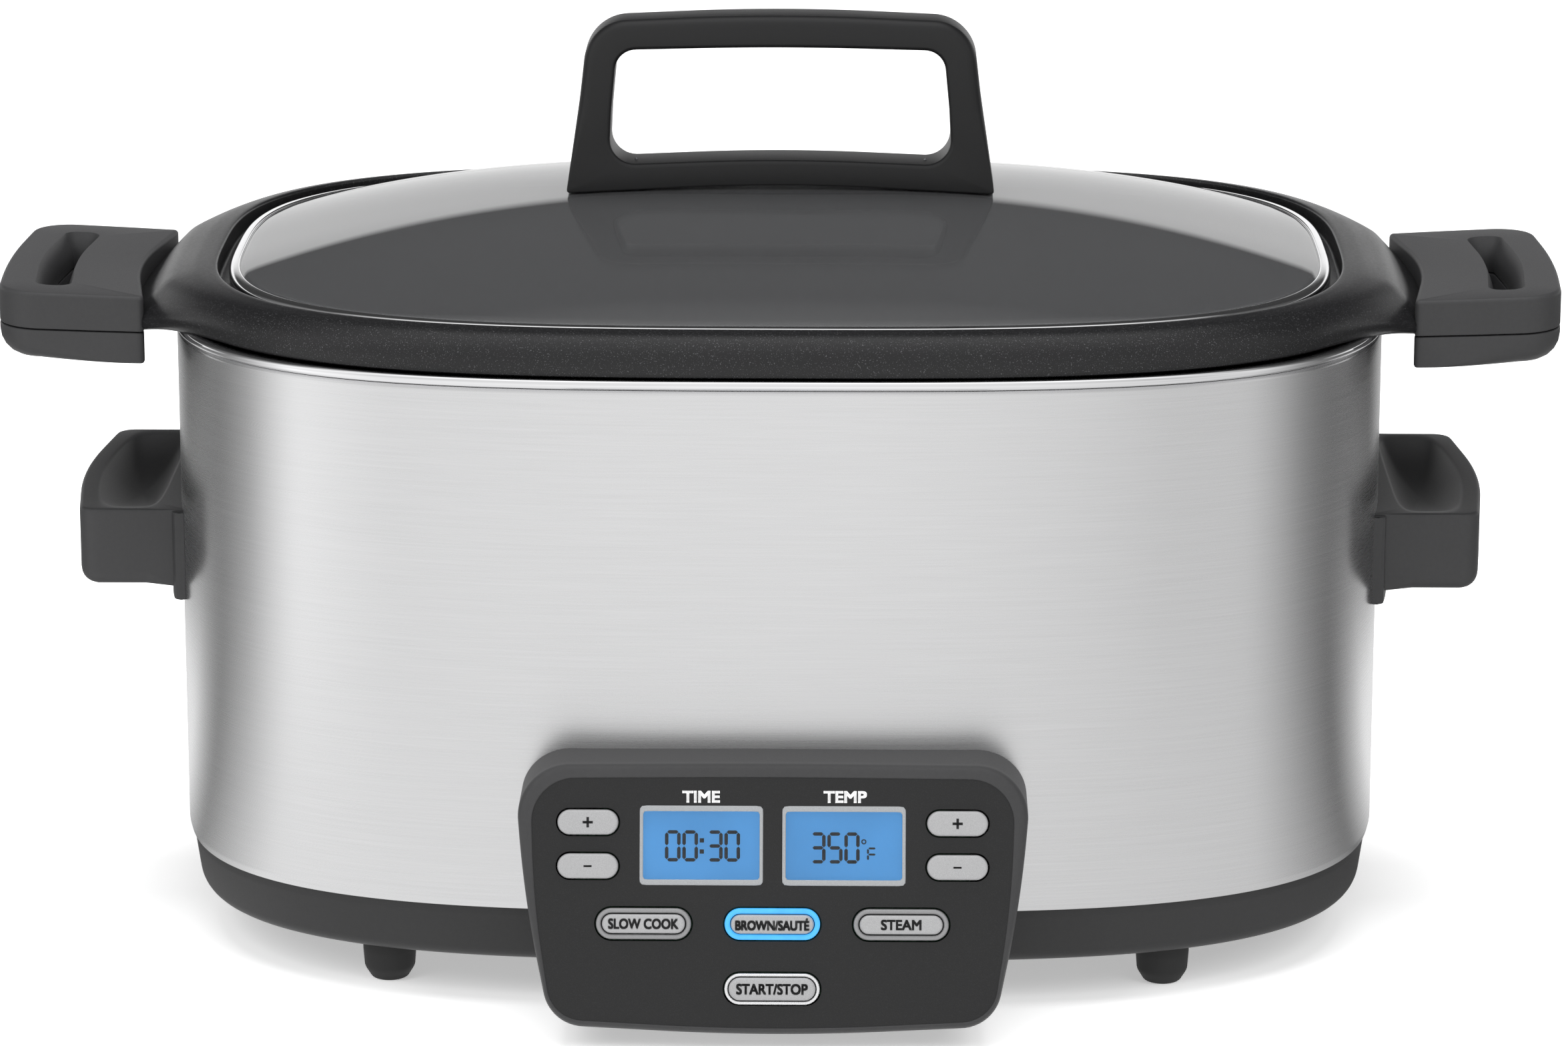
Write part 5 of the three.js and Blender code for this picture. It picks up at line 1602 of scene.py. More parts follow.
# ---- Pot ----------------------------------------------------------------------------------
@dataclass
class Pot:
    """The lift-out pot, with a broad rim that runs out to a web under each handle."""

    oval: Oval
    body: str = "pot"
    wing_half: float = 88.0
    web_half: float = 40.0
    flare: float = 1.7
    rim_rows: int = 44

    def outside(self) -> np.ndarray:
        """Profile from the middle of the underside to under the rim."""
        return filleted_profile(
            [
                (0.01, 82.9, 0),
                (96, 82.9, 1.5),
                (98.5, 82, 1.5),
                (152, 82, 13),
                (160, 182, 10),
                (163.5, 189.9, 3),
                (172, 189.9, 0),
            ],
            closed=False,
            steps=9,
        )

    def rim(self) -> np.ndarray:
        """Profile of the rim's outside, from under it up to its highest line."""
        line = filleted_profile(
            [
                (172, 189.9, 0),
                (181.1, 189.9, 1.3),
                (181.0, 196.2, 9),
                (176.6, 201.2, 9),
                (171.6, 202.3, 0),
            ],
            closed=False,
            steps=12,
        )
        return evenly(line, self.rim_rows, closed=False)

    def web(self) -> np.ndarray:
        """The same line of the rim where it runs out to a handle."""
        line = filleted_profile(
            [
                (172, 189.9, 0),
                (183.2, 189.9, 7),
                (192.5, 183.4, 4),
                (198, 183.2, 0.8),
                (198, 186.6, 0.8),
                (192.8, 190.6, 7),
                (185.2, 198.9, 12),
                (176.6, 201.6, 9),
                (171.6, 202.3, 0),
            ],
            closed=False,
            steps=12,
        )
        return evenly(line, self.rim_rows, closed=False)

    def inside(self) -> np.ndarray:
        """Profile from the rim's highest line down over the ledge and wall to the floor's middle."""
        return filleted_profile(
            [
                (171.6, 202.3, 0),
                (170.0, 202.3, 1.4),
                (170.0, 196.3, 1.2),
                (162, 196.3, 1.0),
                (158.2, 194.6, 3),
                (157, 184, 5),
                (149, 85, 13),
                (0.01, 85, 0),
            ],
            closed=False,
            steps=9,
        )

    def vessel(self) -> None:
        """Sweeps the profiles and pulls the rim's outer rows out towards each handle.

        A rim point moves from the plain profile to the web's by ((88 - |y|) / 48) ^ 1.7, held
        between 0 and 1, so the rim flares late and runs to a point beside the handle.
        """
        plain, web = self.rim(), self.web()
        rows = self.oval.rows(plain)
        away = np.abs(rows[..., 1] - self.oval.centre_y) / MM
        share = np.clip(
            (self.wing_half - away) / (self.wing_half - self.web_half), 0, 1
        ) ** self.flare
        step = (web - plain)[:, None]
        rows[..., 0] += share * step[..., 0] * np.sign(rows[..., 0])
        rows[..., 2] += share * step[..., 1]
        parts = [self.oval.rows(self.outside())[:-1], rows, self.oval.rows(self.inside())[1:]]
        Shape().grid(np.concatenate(parts)).piece(
            "pot_vessel", self.body, Finishes.pot, ["cooking_pot"], sharp=50
        )

    def build(self) -> None:
        """Makes the pot."""
        self.vessel()


@dataclass
class PotHandle:
    """One of the pot's plastic handles: two halves with a seam, a long slot and soft corners."""

    side: int
    centre_y: float
    inner: float = 189.5
    outer: float = 233.5
    half_depth: float = 50.0
    corner: float = 13.0
    bulge: float = 3.1
    slope: float = 0.045
    hollow: float = 7.3
    slot_inner: float = 214.9
    slot_outer: float = 221.3
    slot_half: float = 36.0
    low: float = 175.0
    seam_low: float = 184.4
    seam_high: float = 184.7
    top: float = 195.5
    under_round: float = 7.5
    slot_lip: float = 2.3
    columns: int = 240

    def plan(self) -> np.ndarray:
        """Plan of the right-hand handle: hollow towards the cooker, bowed on its far side."""
        h = self.half_depth
        table = np.array(
            [
                (self.inner, 1 - h, 1.6),
                (self.inner + 16, 0.4 - h, 200),
                (self.outer, -h, self.corner),
                (self.outer + self.bulge, 0, 2000),
                (self.outer, h, self.corner),
                (self.inner + 16, h - 0.4, 200),
                (self.inner, h - 1, 1.6),
                (self.inner + self.hollow, 0, 2000),
            ]
        ) * MM
        return quartered(rounded_corners(table[:, :2], table[:, 2], 24), self.columns)

    def slot(self) -> np.ndarray:
        """Plan of the slot, bowed like the far side."""
        a, b, h = self.slot_inner, self.slot_outer, self.slot_half
        table = np.array(
            [
                (a, -h, 2.4),
                (b, -h, 2.4),
                (b + self.bulge, 0, 2000),
                (b, h, 2.4),
                (a, h, 2.4),
                (a + self.bulge, 0, 2000),
            ]
        ) * MM
        return quartered(rounded_corners(table[:, :2], table[:, 2], 24), self.columns)

    def half(
        self, low: float, high: float, low_round: np.ndarray, high_round: float, lip: float
    ) -> np.ndarray:
        """One half, as a closed grid from its outer wall over its top and down its slot.

        Args:
            low, high: heights of its faces.
            low_round: radius of the lower edge at each point.
            high_round: radius of the upper edge.
            lip: how far the slot widens at the face that shows.

        Returns:
            (rows, columns, 3) points.
        """
        wall = slab_rows(self.plan(), low, high, low_round, np.full(self.columns, high_round), 6)
        hole = hole_rows(self.slot(), low, high, 0.4 * MM, 4)
        if lip > 0:
            throat = self.slot()
            funnel = np.array(
                [
                    lifted(inset(throat, -lip * (1 - k) ** 1.6), high - 3.2 * lip * k)
                    for k in np.linspace(0, 1, 7)
                ]
            )
            hole = np.concatenate([funnel, hole[4:]])
        return np.concatenate([wall, hole])

    def build(self) -> None:
        """Makes the two halves."""
        name = "right" if self.side > 0 else "left"
        turn = np.array([self.side, self.side, 1.0])
        plan = self.plan()
        outward = np.clip((plan[:, 0] / MM - self.inner - 6) / 26, 0, 1)
        under = (0.8 + (self.under_round - 0.8) * outward**1.5) * MM
        thin = np.full(self.columns, 0.5 * MM)
        halves = {
            "upper": self.half(
                self.seam_high * MM, self.top * MM, thin, 1.3 * MM, self.slot_lip * MM
            ),
            "lower": self.half(self.low * MM, self.seam_low * MM, under, 0.5 * MM, 0.0),
        }
        for half, rows in halves.items():
            height = 0.6 + 0.4 * (rows[..., 2] / MM - self.low) / (self.top - self.low)
            rows[..., 2] += self.slope * height * np.maximum(rows[..., 0] - self.inner * MM, 0)
            shape = Shape().grid(rows, wrap_rows=True)
            shape.moved(lambda p: p * turn + np.array([0, self.centre_y, 0]))
            shape.piece(
                f"pot_grip_{name}_{half}", "pot", Finishes.grey, [
                    f"pot_handle_{name}_{half}"
                ], sharp=40
            )


# ---- Lid ----------------------------------------------------------------------------------
@dataclass
class Lid:
    """Domed glass in a bright band, with an arched handle."""

    oval: Oval
    body: str = "lid"
    glass_half_width: float = 164.7
    edge_high: float = 201.0
    rise: float = 19.6
    dome_power: float = 2.5
    glass: float = 3.2
    band_half_width: float = 166.6
    band_low: float = 196.6
    band_high: float = 201.4
    arch_thickness: float = 18.0
    arch_round: float = 3.2
    arch_columns: int = 320

    def dome(self) -> None:
        """The glass: height falls off with the share of the way to the edge to the power 2.5.

        The dome's ovals are all in proportion to its edge, so its reflections run smoothly.
        """
        share = np.linspace(0, 1, 44) ** 0.8
        share[0] = 1e-5
        top = np.stack([share, self.edge_high + self.rise * (1 - share**self.dome_power)], 1)
        edge_turn = np.linspace(0, np.pi, 9)[1:-1]
        middle = self.edge_high - self.glass / 2
        rim = np.stack(
            [1 - (1 - np.sin(edge_turn)) * 0.008, middle + self.glass / 2 * np.cos(edge_turn)], 1
        )
        under = top[::-1] * [0.994, 1] - [0, self.glass]
        profile = np.vstack([top[:-1], [[0.994, top[-1, 1] + 0.05]], rim, under])
        edge = self.oval.rows(np.array([[self.glass_half_width, 0.0]]) * MM)[0]
        plan = (edge[:, :2] - [0, self.oval.centre_y])[None] * profile[:, :1, None]
        plan += [0, self.oval.centre_y]
        height = np.broadcast_to(profile[:, 1:, None] * MM, plan.shape[:2] + (1,))
        Shape().grid(np.concatenate([plan, height], 2)).piece(
            "lid_dome", self.body, Finishes.glass, ["lid_glass"], sharp=60
        )

    def band(self) -> None:
        """The rolled band round the glass, a bead outside and a flat shelf under the edge."""
        w, low, high = self.band_half_width, self.band_low, self.band_high
        lip = self.glass_half_width - 0.5
        profile = filleted_profile(
            [
                (lip - 3.4, low, 0.3),
                (w, low, 1.4),
                (w, high, 1.5),
                (lip - 0.7, high + 0.25, 0.6),
                (lip - 0.9, high - 0.5, 0.3),
                (lip + 0.4, high - 0.9, 0.3),
                (lip + 0.4, low + 0.9, 0.3),
                (lip - 3.4, low + 0.9, 0.3),
            ]
        )
        Shape().grid(self.oval.rows(profile), wrap_rows=True).piece(
            "lid_rim_band", self.body, Finishes.bright, ["lid_band"], sharp=50
        )

    @staticmethod
    def mirrored(right: Sequence[tuple[float, float, float]]) -> np.ndarray:
        """A left-right outline from its right half, listed from the bottom middle to the top
        middle.
        """
        table = np.array(right, float)
        left = table[::-1][1:-1] * [-1, 1, 1]
        return np.vstack([table, left]) * MM

    def arch_outline(self) -> np.ndarray:
        """The arch from the front: flared legs, round shoulders and a gently bowed top."""
        table = self.mirrored(
            [
                (0, 222.7, 3000),
                (65, 219.2, 0.9),
                (60.7, 248.5, 160),
                (58.0, 271.6, 13.5),
                (0, 274.2, 3000),
            ]
        )
        return quartered(rounded_corners(table[:, :2], table[:, 2], 24), self.arch_columns)

    def arch_window(self) -> np.ndarray:
        """The finger window: large round corners below, smaller ones above."""
        table = self.mirrored(
            [
                (0, 230.1, 3000),
                (52.0, 227.9, 11),
                (51.2, 244.5, 100),
                (49.4, 263.2, 6.5),
                (0, 264.4, 3000),
            ]
        )
        return quartered(rounded_corners(table[:, :2], table[:, 2], 24), self.arch_columns)

    def arch(self) -> None:
        """The handle: a closed grid over the front, outside, back and window, edges rounded."""
        half, r = self.arch_thickness / 2 * MM, self.arch_round * MM
        outline, window = self.arch_outline(), self.arch_window()
        foot = outline[:, 1].min()
        rounds = 0.5 * MM + (r - 0.5 * MM) * np.clip(
            (outline[:, 1] - foot - 4 * MM) / (22 * MM), 0, 1
        )
        rows = np.concatenate(
            [
                slab_rows(outline, -half, half, rounds, rounds, 7),
                hole_rows(window, -half, half, 0.4 * r, 7),
            ]
        )
        shape = Shape().grid(rows, wrap_rows=True)
        shape.moved(lambda p: np.stack([p[:, 0], self.oval.centre_y - p[:, 2], p[:, 1]], 1))
        shape.piece("lid_arch", self.body, Finishes.black, ["lid_handle"], sharp=50)

    def fixings(self) -> None:
        """Rubber washers for the screws that hold the arch through the glass."""
        for name in ("left", "right"):
            low, high = node_box(f"lid_gasket_{name}")
            middle = (low + high) / 2
            washer = filleted_profile(
                [
                    (2.4, low[2] / MM, 0.2),
                    (7.4, low[2] / MM, 0.7),
                    (7.4, high[2] / MM, 0.7),
                    (2.4, high[2] / MM, 0.2),
                ]
            )
            Shape().turned(washer, (middle[0], middle[1], 0), closed=True).piece(
                f"lid_washer_{name}", self.body, Finishes.rubber, [f"lid_gasket_{name}"]
            )

    def build(self) -> None:
        """Makes every piece of the lid."""
        self.dome()
        self.band()
        self.arch()
        self.fixings()


# ---- Control panel ------------------------------------------------------------------------
class Segment(Enum):
    """The seven strokes of a digit: whether it lies level, and its middle in a cell of 1 by 2."""

    TOP = (True, 0.5, 2.0)
    UPPER_RIGHT = (False, 1.0, 1.5)
    LOWER_RIGHT = (False, 1.0, 0.5)
    BOTTOM = (True, 0.5, 0.0)
    LOWER_LEFT = (False, 0.0, 0.5)
    UPPER_LEFT = (False, 0.0, 1.5)
    MIDDLE = (True, 0.5, 1.0)


DIGITS: dict[str, str] = {"0": "TOP UPPER_RIGHT LOWER_RIGHT BOTTOM LOWER_LEFT UPPER_LEFT"}
DIGITS["3"] = "TOP UPPER_RIGHT LOWER_RIGHT BOTTOM MIDDLE"
DIGITS["5"] = "TOP UPPER_LEFT MIDDLE LOWER_RIGHT BOTTOM"
DIGITS["F"] = "TOP UPPER_LEFT MIDDLE LOWER_LEFT"


@dataclass(frozen=True)
class Key:
    """A key: its name, place on the panel, size, ring and legend."""

    name: str
    u: float
    v: float
    width: float
    height: float
    legend: str
    legend_size: tuple[float, float]
    ring: Finish | None = None


@dataclass
class ControlPanel:
    """The tilted pod with its fascia, displays, keys and legends.

    On the panel u runs across, v up its slope and w out of it.
    """

    oval: Oval
    body: str = "housing"
    tilt: float = math.radians(15.66)
    length: float = 77.8
    sag: float = 2.4
    shell_half_width: float = 182.0
    edge: float = 2.6
    fascia_front: float = -0.4
    fascia_back: float = -2.4
    key_proud: float = 1.4
    ring_size: tuple[float, float] = (27.4, 9.0)
    ring_proud: float = 0.75
    window_size: tuple[float, float] = (35.5, 22.9)
    glass_size: tuple[float, float] = (33.4, 19.6)
    window_at: tuple[float, float] = (20.5, 54.2)
    boldness: float = 0.05
    columns: int = 320
    origin: np.ndarray = field(init=False)

    def __post_init__(self) -> None:
        """Finds the panel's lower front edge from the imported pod."""
        low, _ = node_box("panel_housing")
        self.origin = np.array([0, low[1], low[2]])

    def to_world(self, points: np.ndarray) -> np.ndarray:
        """Places (u, v, w) points, in metres, in the cooker's frame."""
        sine, cosine = math.sin(self.tilt), math.cos(self.tilt)
        u, v, w = points[..., 0], points[..., 1], points[..., 2]
        return np.stack([u, v * sine - w * cosine, v * cosine + w * sine], -1) + self.origin

    def outline(
        self, low_half: float, high_half: float, low: float, high: float, low_round: float,
        high_round: float
    ) -> np.ndarray:
        """A panel outline: flared sides with a slight bow, round corners and a dipping lower edge.

        Args:
            low_half, high_half: half-widths that the sides would have at the pod's two ends.
            low, high: heights of the lower and upper edges.
            low_round, high_round: corner radii.

        Returns:
            (columns, 2) points in metres.
        """

        def side(v: float) -> float:
            """Half-width of the straight side at a height."""
            return low_half + (high_half - low_half) * v / self.length

        middle = (low + high) / 2
        table = np.array(
            [
                (0, low - 0.75, 900),
                (side(low) - 0.6, low + self.sag, low_round),
                (side(middle) + 1.7, middle, 1200),
                (side(high) - 0.2, high - 0.3, high_round),
                (0, high + 0.3, 3000),
            ]
        )
        table = np.vstack([table, table[::-1][1:-1] * [-1, 1, 1]]) * MM
        return quartered(rounded_corners(table[:, :2], table[:, 2], 30), self.columns)

    def pod(self) -> None:
        """The pod: a lip round the fascia, a rounded bezel, and walls straight back to the shell."""
        outer = self.outline(64.5, 75, 0, self.length - 0.1, 12, 15)
        inner = self.outline(63.7, 70.2, 1.8, 73.6, 10.5, 12.5)
        edge = self.edge * MM
        inward, short = quarter(7)
        lip = 0.5 * MM
        rows = [lifted(inner, -2.9 * MM)]
        rows += [
            lifted(inset(inner, -lip * i), -lip * s) for i, s in zip(inward[::-1], short[::-1])
        ]
        width = np.hypot(*(outer - inner).T)
        narrow = np.minimum(edge, 0.8 * width)
        rows += [lifted(inset(outer, narrow * i), -edge * s) for i, s in zip(inward, short)]
        face = self.to_world(np.array(rows))
        start = face[-1]
        wall = self.oval.front(start[:, 0], (self.shell_half_width - 4) * MM)
        share = np.linspace(0, 1, 9)[1:].reshape(-1, 1)
        back = np.broadcast_to(start, (8,) + start.shape).copy()
        back[..., 1] = start[:, 1] + (wall - start[:, 1]) * share
        hollow = back[-1] * [0.9, 1, 1]
        hollow[:, 2] = start[:, 2].mean() + (start[:, 2] - start[:, 2].mean()) * 0.88
        floor = face[0] * [0.98, 1, 1] + [0, 0.004, 0]
        rows = np.concatenate([face, back, hollow[None], floor[None]])
        Shape().grid(rows, wrap_rows=True).piece(
            "panel_pod", self.body, Finishes.pod, ["panel_housing"], sharp=50
        )

    @staticmethod
    def pill(width: float, height: float, count: int = 96) -> np.ndarray:
        """A bar with round ends, counter-clockwise, evenly stepped."""
        angle = np.linspace(-np.pi / 2, 1.5 * np.pi, 720, endpoint=False)
        radius = height / 2
        along = np.sign(np.cos(angle)) * (width / 2 - radius)
        bar = np.stack([radius * np.cos(angle) + along, radius * np.sin(angle)], 1)
        return quartered(bar * MM, count)

    @staticmethod
    def rectangle(width: float, height: float, corner: float, count: int = 96) -> np.ndarray:
        """A rectangle with round corners, counter-clockwise."""
        x, y = width / 2, height / 2
        corners = np.array([(-x, -y), (x, -y), (x, y), (-x, y)]) * MM
        return quartered(rounded_corners(corners, np.full(4, corner * MM)), count)

    def keys(self) -> list[Key]:
        """Every key on the panel."""
        found = [
            Key(f"{side}_{sign}", u, v, 17.5, 7.2, mark, size)
            for side, u in (("time", -53.1), ("temp", 53.1))
            for sign, v, mark, size in (
                ("plus", 60.8, "+", (2.7, 2.7)),
                ("minus", 48.2, "−", (2.3, 0.45)),
            )
        ]
        function = (27.4 - 3.5, 9 - 3.5)
        found.append(
            Key("slow_cook", -37, 31.7, *function, "SLOW COOK", (20.0, 2.8), Finishes.ring)
        )
        found.append(Key("brown", 0, 31.7, *function, "BROWN/SAUTÉ", (21.0, 3.3), Finishes.lit))
        found.append(Key("steam", 37, 31.7, *function, "STEAM", (11.4, 2.8), Finishes.ring))
        found.append(
            Key("start", 0, 13.1, 25.0, 6.6, "START/STOP", (20.3, 2.9), Finishes.start_ring)
        )
        return found

    def fascia(self) -> None:
        """The film-faced sheet: a filled curve with an opening for every window, key and ring."""
        holes = [self.rectangle(35.3, 22.7, 1.4) + [s * 0.0205, 0.0542] for s in (-1, 1)]
        for key in self.keys():
            size = self.ring_size if key.ring else (key.width, key.height)
            holes.append(self.pill(size[0] + 1.0, size[1] + 1.0) + np.array([key.u, key.v]) * MM)
        curve = bpy.data.curves.new("fascia_outline", "CURVE")
        curve.dimensions, curve.fill_mode = "2D", "BOTH"
        curve.extrude = (self.fascia_front - self.fascia_back) / 2 * MM
        for line in [self.outline(63.7, 70.2, 1.8, 73.6, 10.5, 12.5), *holes]:
            spline = curve.splines.new("POLY")
            spline.points.add(len(line) - 1)
            spline.points.foreach_set("co", np.column_stack([line, line * 0 + [0, 1]]).ravel())
            spline.use_cyclic_u = True
        middle = (self.fascia_front + self.fascia_back) / 2 * MM
        mesh = self.meshed(curve, lambda p: p + [0, 0, middle])
        finished(mesh, "panel_film", self.body, Finishes.fascia, ["panel_fascia"], sharp=30)

    def meshed(
        self, curve: bpy.types.Curve, change: Callable[[np.ndarray], np.ndarray]
    ) -> bpy.types.Mesh:
        """Turns a text or flat curve into a mesh on the panel.

        Args:
            curve: the curve; it is removed.
            change: applied to its (n, 3) points before they are placed.

        Returns:
            The mesh, in the cooker's frame.
        """
        holder = bpy.data.objects.new("curve_holder", curve)
        bpy.context.scene.collection.objects.link(holder)
        graph = bpy.context.evaluated_depsgraph_get()
        mesh = bpy.data.meshes.new_from_object(holder.evaluated_get(graph))
        bpy.data.objects.remove(holder)
        bpy.data.curves.remove(curve)
        points = np.empty(len(mesh.vertices) * 3)
        mesh.vertices.foreach_get("co", points)
        placed = self.to_world(change(points.reshape(-1, 3)))
        mesh.vertices.foreach_set("co", placed.ravel())
        work = bmesh.new()
        work.from_mesh(mesh)
        bmesh.ops.remove_doubles(work, verts=work.verts, dist=1e-6)
        bmesh.ops.recalc_face_normals(work, faces=work.faces)
        work.to_mesh(mesh)
        work.free()
        mesh.update()
        return mesh

    def legend(
        self, name: str, text: str, at: tuple[
            float, float, float
        ], size: tuple[float, float], finish: Finish, body: str
    ) -> None:
        """Printed lettering, scaled to a size and centred on a place.

        Args:
            name: the piece's name.
            text: the words.
            at: (u, v, w) of its middle, in millimetres.
            size: its width and height, in millimetres.
            finish: the ink.
            body: the CAD body it rides on.
        """
        curve = bpy.data.curves.new(name, "FONT")
        curve.body = text
        curve.size = 1.0
        curve.extrude = 0.01
        curve.resolution_u = 4

        def fit(points: np.ndarray) -> np.ndarray:
            """Scales the letters to their size about their middle."""
            low, high = points.min(0), points.max(0)
            scale = np.array([size[0], size[1], 0.03]) * MM / (high - low)
            return (points - (low + high) / 2) * scale + np.array(at) * MM

        mesh = self.meshed(curve, fit)
        work = bmesh.new()
        for across, up in ((-1, -1), (1, -1), (-1, 1), (1, 1)):
            start = len(work.verts)
            work.from_mesh(mesh)
            work.verts.ensure_lookup_table()
            bold = np.array([across, up, 0]) * self.boldness * size[1] * MM
            step = self.to_world(bold) - self.origin
            bmesh.ops.translate(work, vec=step.tolist(), verts=work.verts[start:])
        work.to_mesh(mesh)
        work.free()
        finished(mesh, name, body, finish, sharp=20)

    def sweep_plate(
        self, outline: np.ndarray, at: tuple[
            float, float
        ], low: float, high: float, edge: float, crown: float
    ) -> np.ndarray:
        """A plate with a rounded front edge and a slightly crowned face, on the panel.

        Args:
            outline: its plan about its own middle.
            at: (u, v) of its middle, in millimetres.
            low, high: w of its back and front, in millimetres.
            edge: radius of the front edge, in millimetres.
            crown: how far the middle of the face rises, in millimetres.

        Returns:
            (rows, columns, 3) points in the cooker's frame.
        """
        rounds = np.full(len(outline), edge * MM)
        walls = slab_rows(outline, low * MM, (high - crown) * MM, rounds * 0.1, rounds, 7)
        share = np.linspace(0.97, 0, 10)
        face = shrunk(walls[-1], share, np.zeros(2), crown * MM * (1 - share**2))
        back = shrunk(walls[0], [0.5, 0], np.zeros(2))[::-1]
        rows = np.concatenate([back, walls, face])
        rows[..., :2] += np.array(at) * MM
        return self.to_world(rows)

    def ring_rows(self, key: Key) -> np.ndarray:
        """The rounded ring round a key, open in the middle."""
        outer = self.pill(*self.ring_size)
        hole = self.pill(key.width + 0.5, key.height + 0.5)
        wall = (self.ring_size[1] - key.height - 0.5) / 2
        edge = 0.46 * wall * MM
        rounds = np.full(len(outer), edge)
        low, high = self.fascia_back * MM, self.ring_proud * MM
        rows = np.concatenate(
            [
                slab_rows(outer, low, high, rounds * 0.1, rounds, 7),
                hole_rows(hole, low, high, edge, 7)
            ]
        )
        rows[..., :2] += np.array([key.u, key.v]) * MM
        return self.to_world(rows)

    def build_keys(self) -> None:
        """Makes the keys, each on its own body, with its legend and its ring."""
        for key in self.keys():
            body = f"{key.name}_key"
            plan = self.pill(key.width, key.height)
            crown = 0.12
            rows = self.sweep_plate(plan, (key.u, key.v), -4.2, self.key_proud, 0.85, crown)
            Shape().grid(rows).piece(
                f"{key.name}_cap", body, Finishes.key, [f"{key.name}_button"], sharp=50
            )
            w = self.key_proud + 0.008
            self.legend(
                f"{key.name}_legend", key.legend, (
                    key.u, key.v, w
                ), key.legend_size, Finishes.key_legend, body
            )
            if key.ring:
                Shape().grid(self.ring_rows(key), wrap_rows=True).piece(
                    f"{key.name}_surround", self.body, key.ring, [f"{key.name}_ring"], sharp=50
                )

    def digit_strokes(
        self, text: str, at: tuple[float, float], cell: tuple[float, float], pitch: float,
        stroke: float
    ) -> np.ndarray:
        """Seven-segment digits as hexagonal strokes.

        Args:
            text: the digits; a colon takes half a pitch.
            at: (u, v) of the first cell's lower left corner, in millimetres.
            cell: width and height of a digit between the middles of its strokes.
            pitch: from one digit to the next.
            stroke: a stroke's thickness.

        Returns:
            (strokes, 6, 2) points in millimetres, of upright digits.
        """
        tip = np.array([(-1, 0), (-1, -1), (1, -1), (1, 0), (1, 1), (-1, 1)], float)
        strokes = []
        u = 0.0
        half = stroke / 2
        for letter in text:
            if letter == ":":
                for share in (0.3, 0.7):
                    middle = np.array([u + pitch * 0.02, cell[1] * share])
                    strokes.append(middle + tip * [0.62 * stroke, 0.62 * stroke])
                u += 0.42 * pitch
                continue
            for name in DIGITS[letter].split():
                is_level, x, y = Segment[name].value
                middle = np.array([u + x * cell[0], y * cell[1] / 2])
                reach = (cell[0] if is_level else cell[1] / 2) / 2 - 0.12
                bar = np.array(
                    [
                        (-reach, 0), (half - reach, -half), (reach - half, -half), (reach, 0),
                        (reach - half, half), (half - reach, half)
                    ]
                )
                strokes.append(middle + (bar if is_level else bar[:, ::-1] * [-1, 1]))
            u += pitch
        return np.array(strokes) + np.array(at)

    def digits(self, name: str, strokes: np.ndarray, w: float) -> None:
        """Makes thin prisms of the strokes.

        Args:
            name: the piece's name.
            strokes: (n, 6, 2) points in millimetres.
            w: where their backs lie, in millimetres.
        """
        shape = Shape()
        for stroke in strokes * MM:
            middle = stroke.mean(0)
            rows = [lifted(stroke, w * MM), lifted(stroke, (w + 0.05) * MM)]
            back = lifted(np.broadcast_to(middle, stroke.shape), w * MM)
            front = lifted(np.broadcast_to(middle, stroke.shape), (w + 0.05) * MM)
            shape.grid(self.to_world(np.array([back, *rows, front])))
        shape.piece(name, self.body, Finishes.digit, sharp=20)

    def displays(self) -> None:
        """Windows with their frames, over the lit displays and their digits."""
        w = -2.66
        for name, side in (("time", -1), ("temp", 1)):
            at = (side * self.window_at[0], self.window_at[1])
            lens = self.rectangle(*self.glass_size, 0.8)
            Shape().grid(self.sweep_plate(lens, at, self.fascia_back, -0.5, 0.15, 0.0)).piece(
                f"{name}_lens", self.body, Finishes.window, [f"{name}_window"], sharp=30
            )
            outer = self.rectangle(*self.window_size, 1.3)
            hole = self.rectangle(self.glass_size[0] + 0.06, self.glass_size[1] + 0.06, 0.8)
            rounds = np.full(len(outer), 0.28 * MM)
            low, high = -2.66 * MM, -0.15 * MM
            rows = np.concatenate(
                [
                    slab_rows(outer, low, high, rounds * 0.1, rounds, 5),
                    hole_rows(hole, low, high, 0.22 * MM, 5)
                ]
            )
            rows[..., :2] += np.array(at) * MM
            Shape().grid(self.to_world(rows), wrap_rows=True).piece(
                f"{name}_frame", self.body, Finishes.frame, sharp=40
            )
            screen = self.rectangle(self.glass_size[0] + 0.6, self.glass_size[1] + 0.6, 0.8)
            Shape().grid(self.sweep_plate(screen, at, -2.72, -2.665, 0.01, 0.0)).piece(
                f"{name}_screen", self.body, Finishes.display, sharp=30
            )
        time = self.digit_strokes("00:30", (-30.5, 50.0), (3.5, 8.0), 5.0, 1.0)
        self.digits("time_digits", time, w)
        temp = self.digit_strokes("350", (11.3, 49.6), (3.4, 8.0), 4.9, 1.0)
        unit = self.digit_strokes("F", (27.4, 50.0), (2.3, 3.5), 3.0, 0.58)
        self.digits("temp_digits", np.concatenate([temp, unit]), w)
        degree = self.pill(1.5, 1.5, 32)
        hole = self.pill(0.8, 0.8, 32)
        rows = np.array([
            lifted(line, h * MM)
            for line, h in ((degree, w), (degree, w + 0.05), (hole, w + 0.05), (hole, w))
        ])
        rows[..., :2] += np.array([26.2, 55.4]) * MM
        Shape().grid(self.to_world(rows), wrap_rows=True).piece(
            "degree_mark", self.body, Finishes.digit, sharp=20
        )

    def build(self) -> None:
        """Makes every piece of the panel."""
        self.pod()
        self.fascia()
        self.displays()
        self.build_keys()
        w = self.fascia_front + 0.01
        # TIME and TEMP in the white ink, which carries a painted glow.
        self.legend("time_title", "TIME", (-20.6, 68.2, w), (10.5, 3.1), Finishes.legend, self.body)
        self.legend("temp_title", "TEMP", (20.8, 68.3, w), (12.1, 3.1), Finishes.legend, self.body)


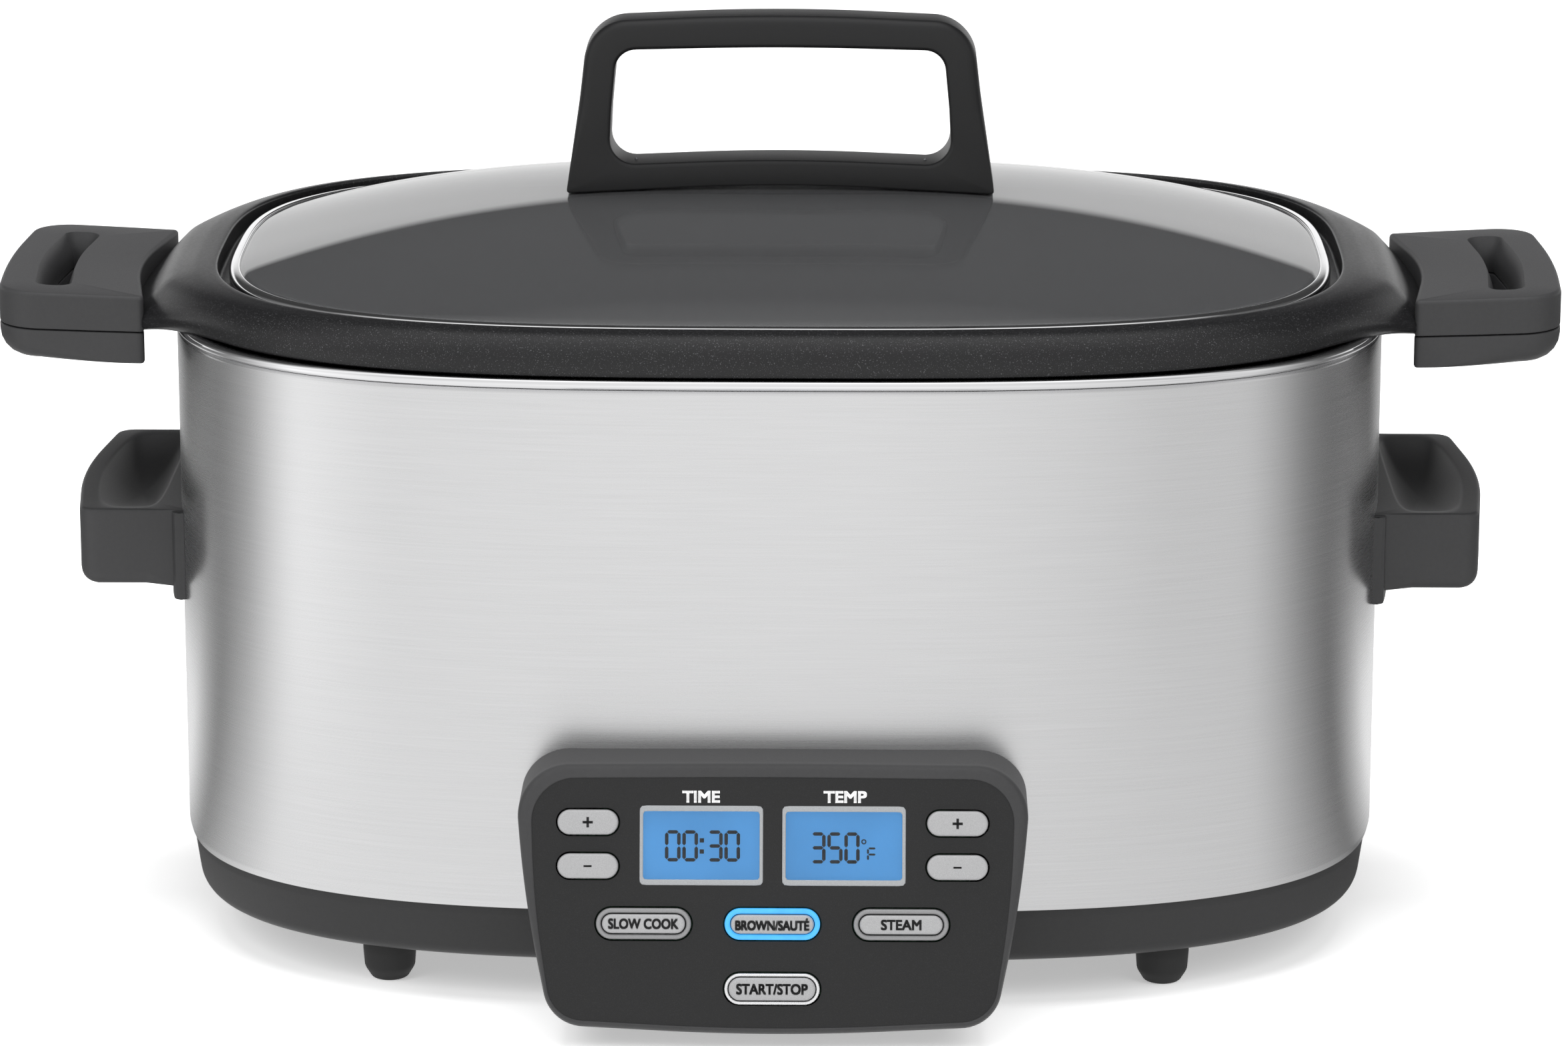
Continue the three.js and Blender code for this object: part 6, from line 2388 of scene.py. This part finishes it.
# ---- Carried-over CAD pieces --------------------------------------------------------------
CARRIED: dict[str, Finish] = {
    "heat_shield": Finishes.sheet,
    "sensor_sleeve": Finishes.sheet,
    "sensor_spring": Finishes.zinc,
    "thermal_fuse": Finishes.sheath,
    "power_board": Finishes.board,
    "control_board": Finishes.board,
    "display_cable": Finishes.cable,
    "time_display": Finishes.cable,
    "temp_display": Finishes.cable,
}


def dress_carried() -> None:
    """Gives every CAD node that still shows its finish."""
    for name, node in frame["nodes"].items():
        if node.hide_render:
            continue
        finish = CARRIED.get(name, Finishes.zinc)
        node.data.materials.clear()
        node.data.materials.append(finish.material())
        log.info("%s keeps its CAD shape, finished in %s", name, finish.name)


def main() -> None:
    """Builds the studio and the cooker, piece by piece."""
    low, high = node_box("outer_shell")
    centre_y = float(low[1] + high[1]) / 2
    stretch = float((high[0] - low[0]) - (high[1] - low[1])) / 2
    body_oval = Oval(centre_y, stretch, 3.2)
    pot_oval = Oval(centre_y, stretch, 3.08)
    Studio().build()
    Housing(body_oval).build()
    for side in (-1, 1):
        SideHandle(body_oval, side).build()
    Pot(pot_oval).build()
    for side in (-1, 1):
        PotHandle(side, centre_y).build()
    Lid(pot_oval).build()
    ControlPanel(body_oval).build()
    dress_carried()


if __name__ == "__main__":
    logging.basicConfig(level=logging.INFO, format="%(message)s")
    main()
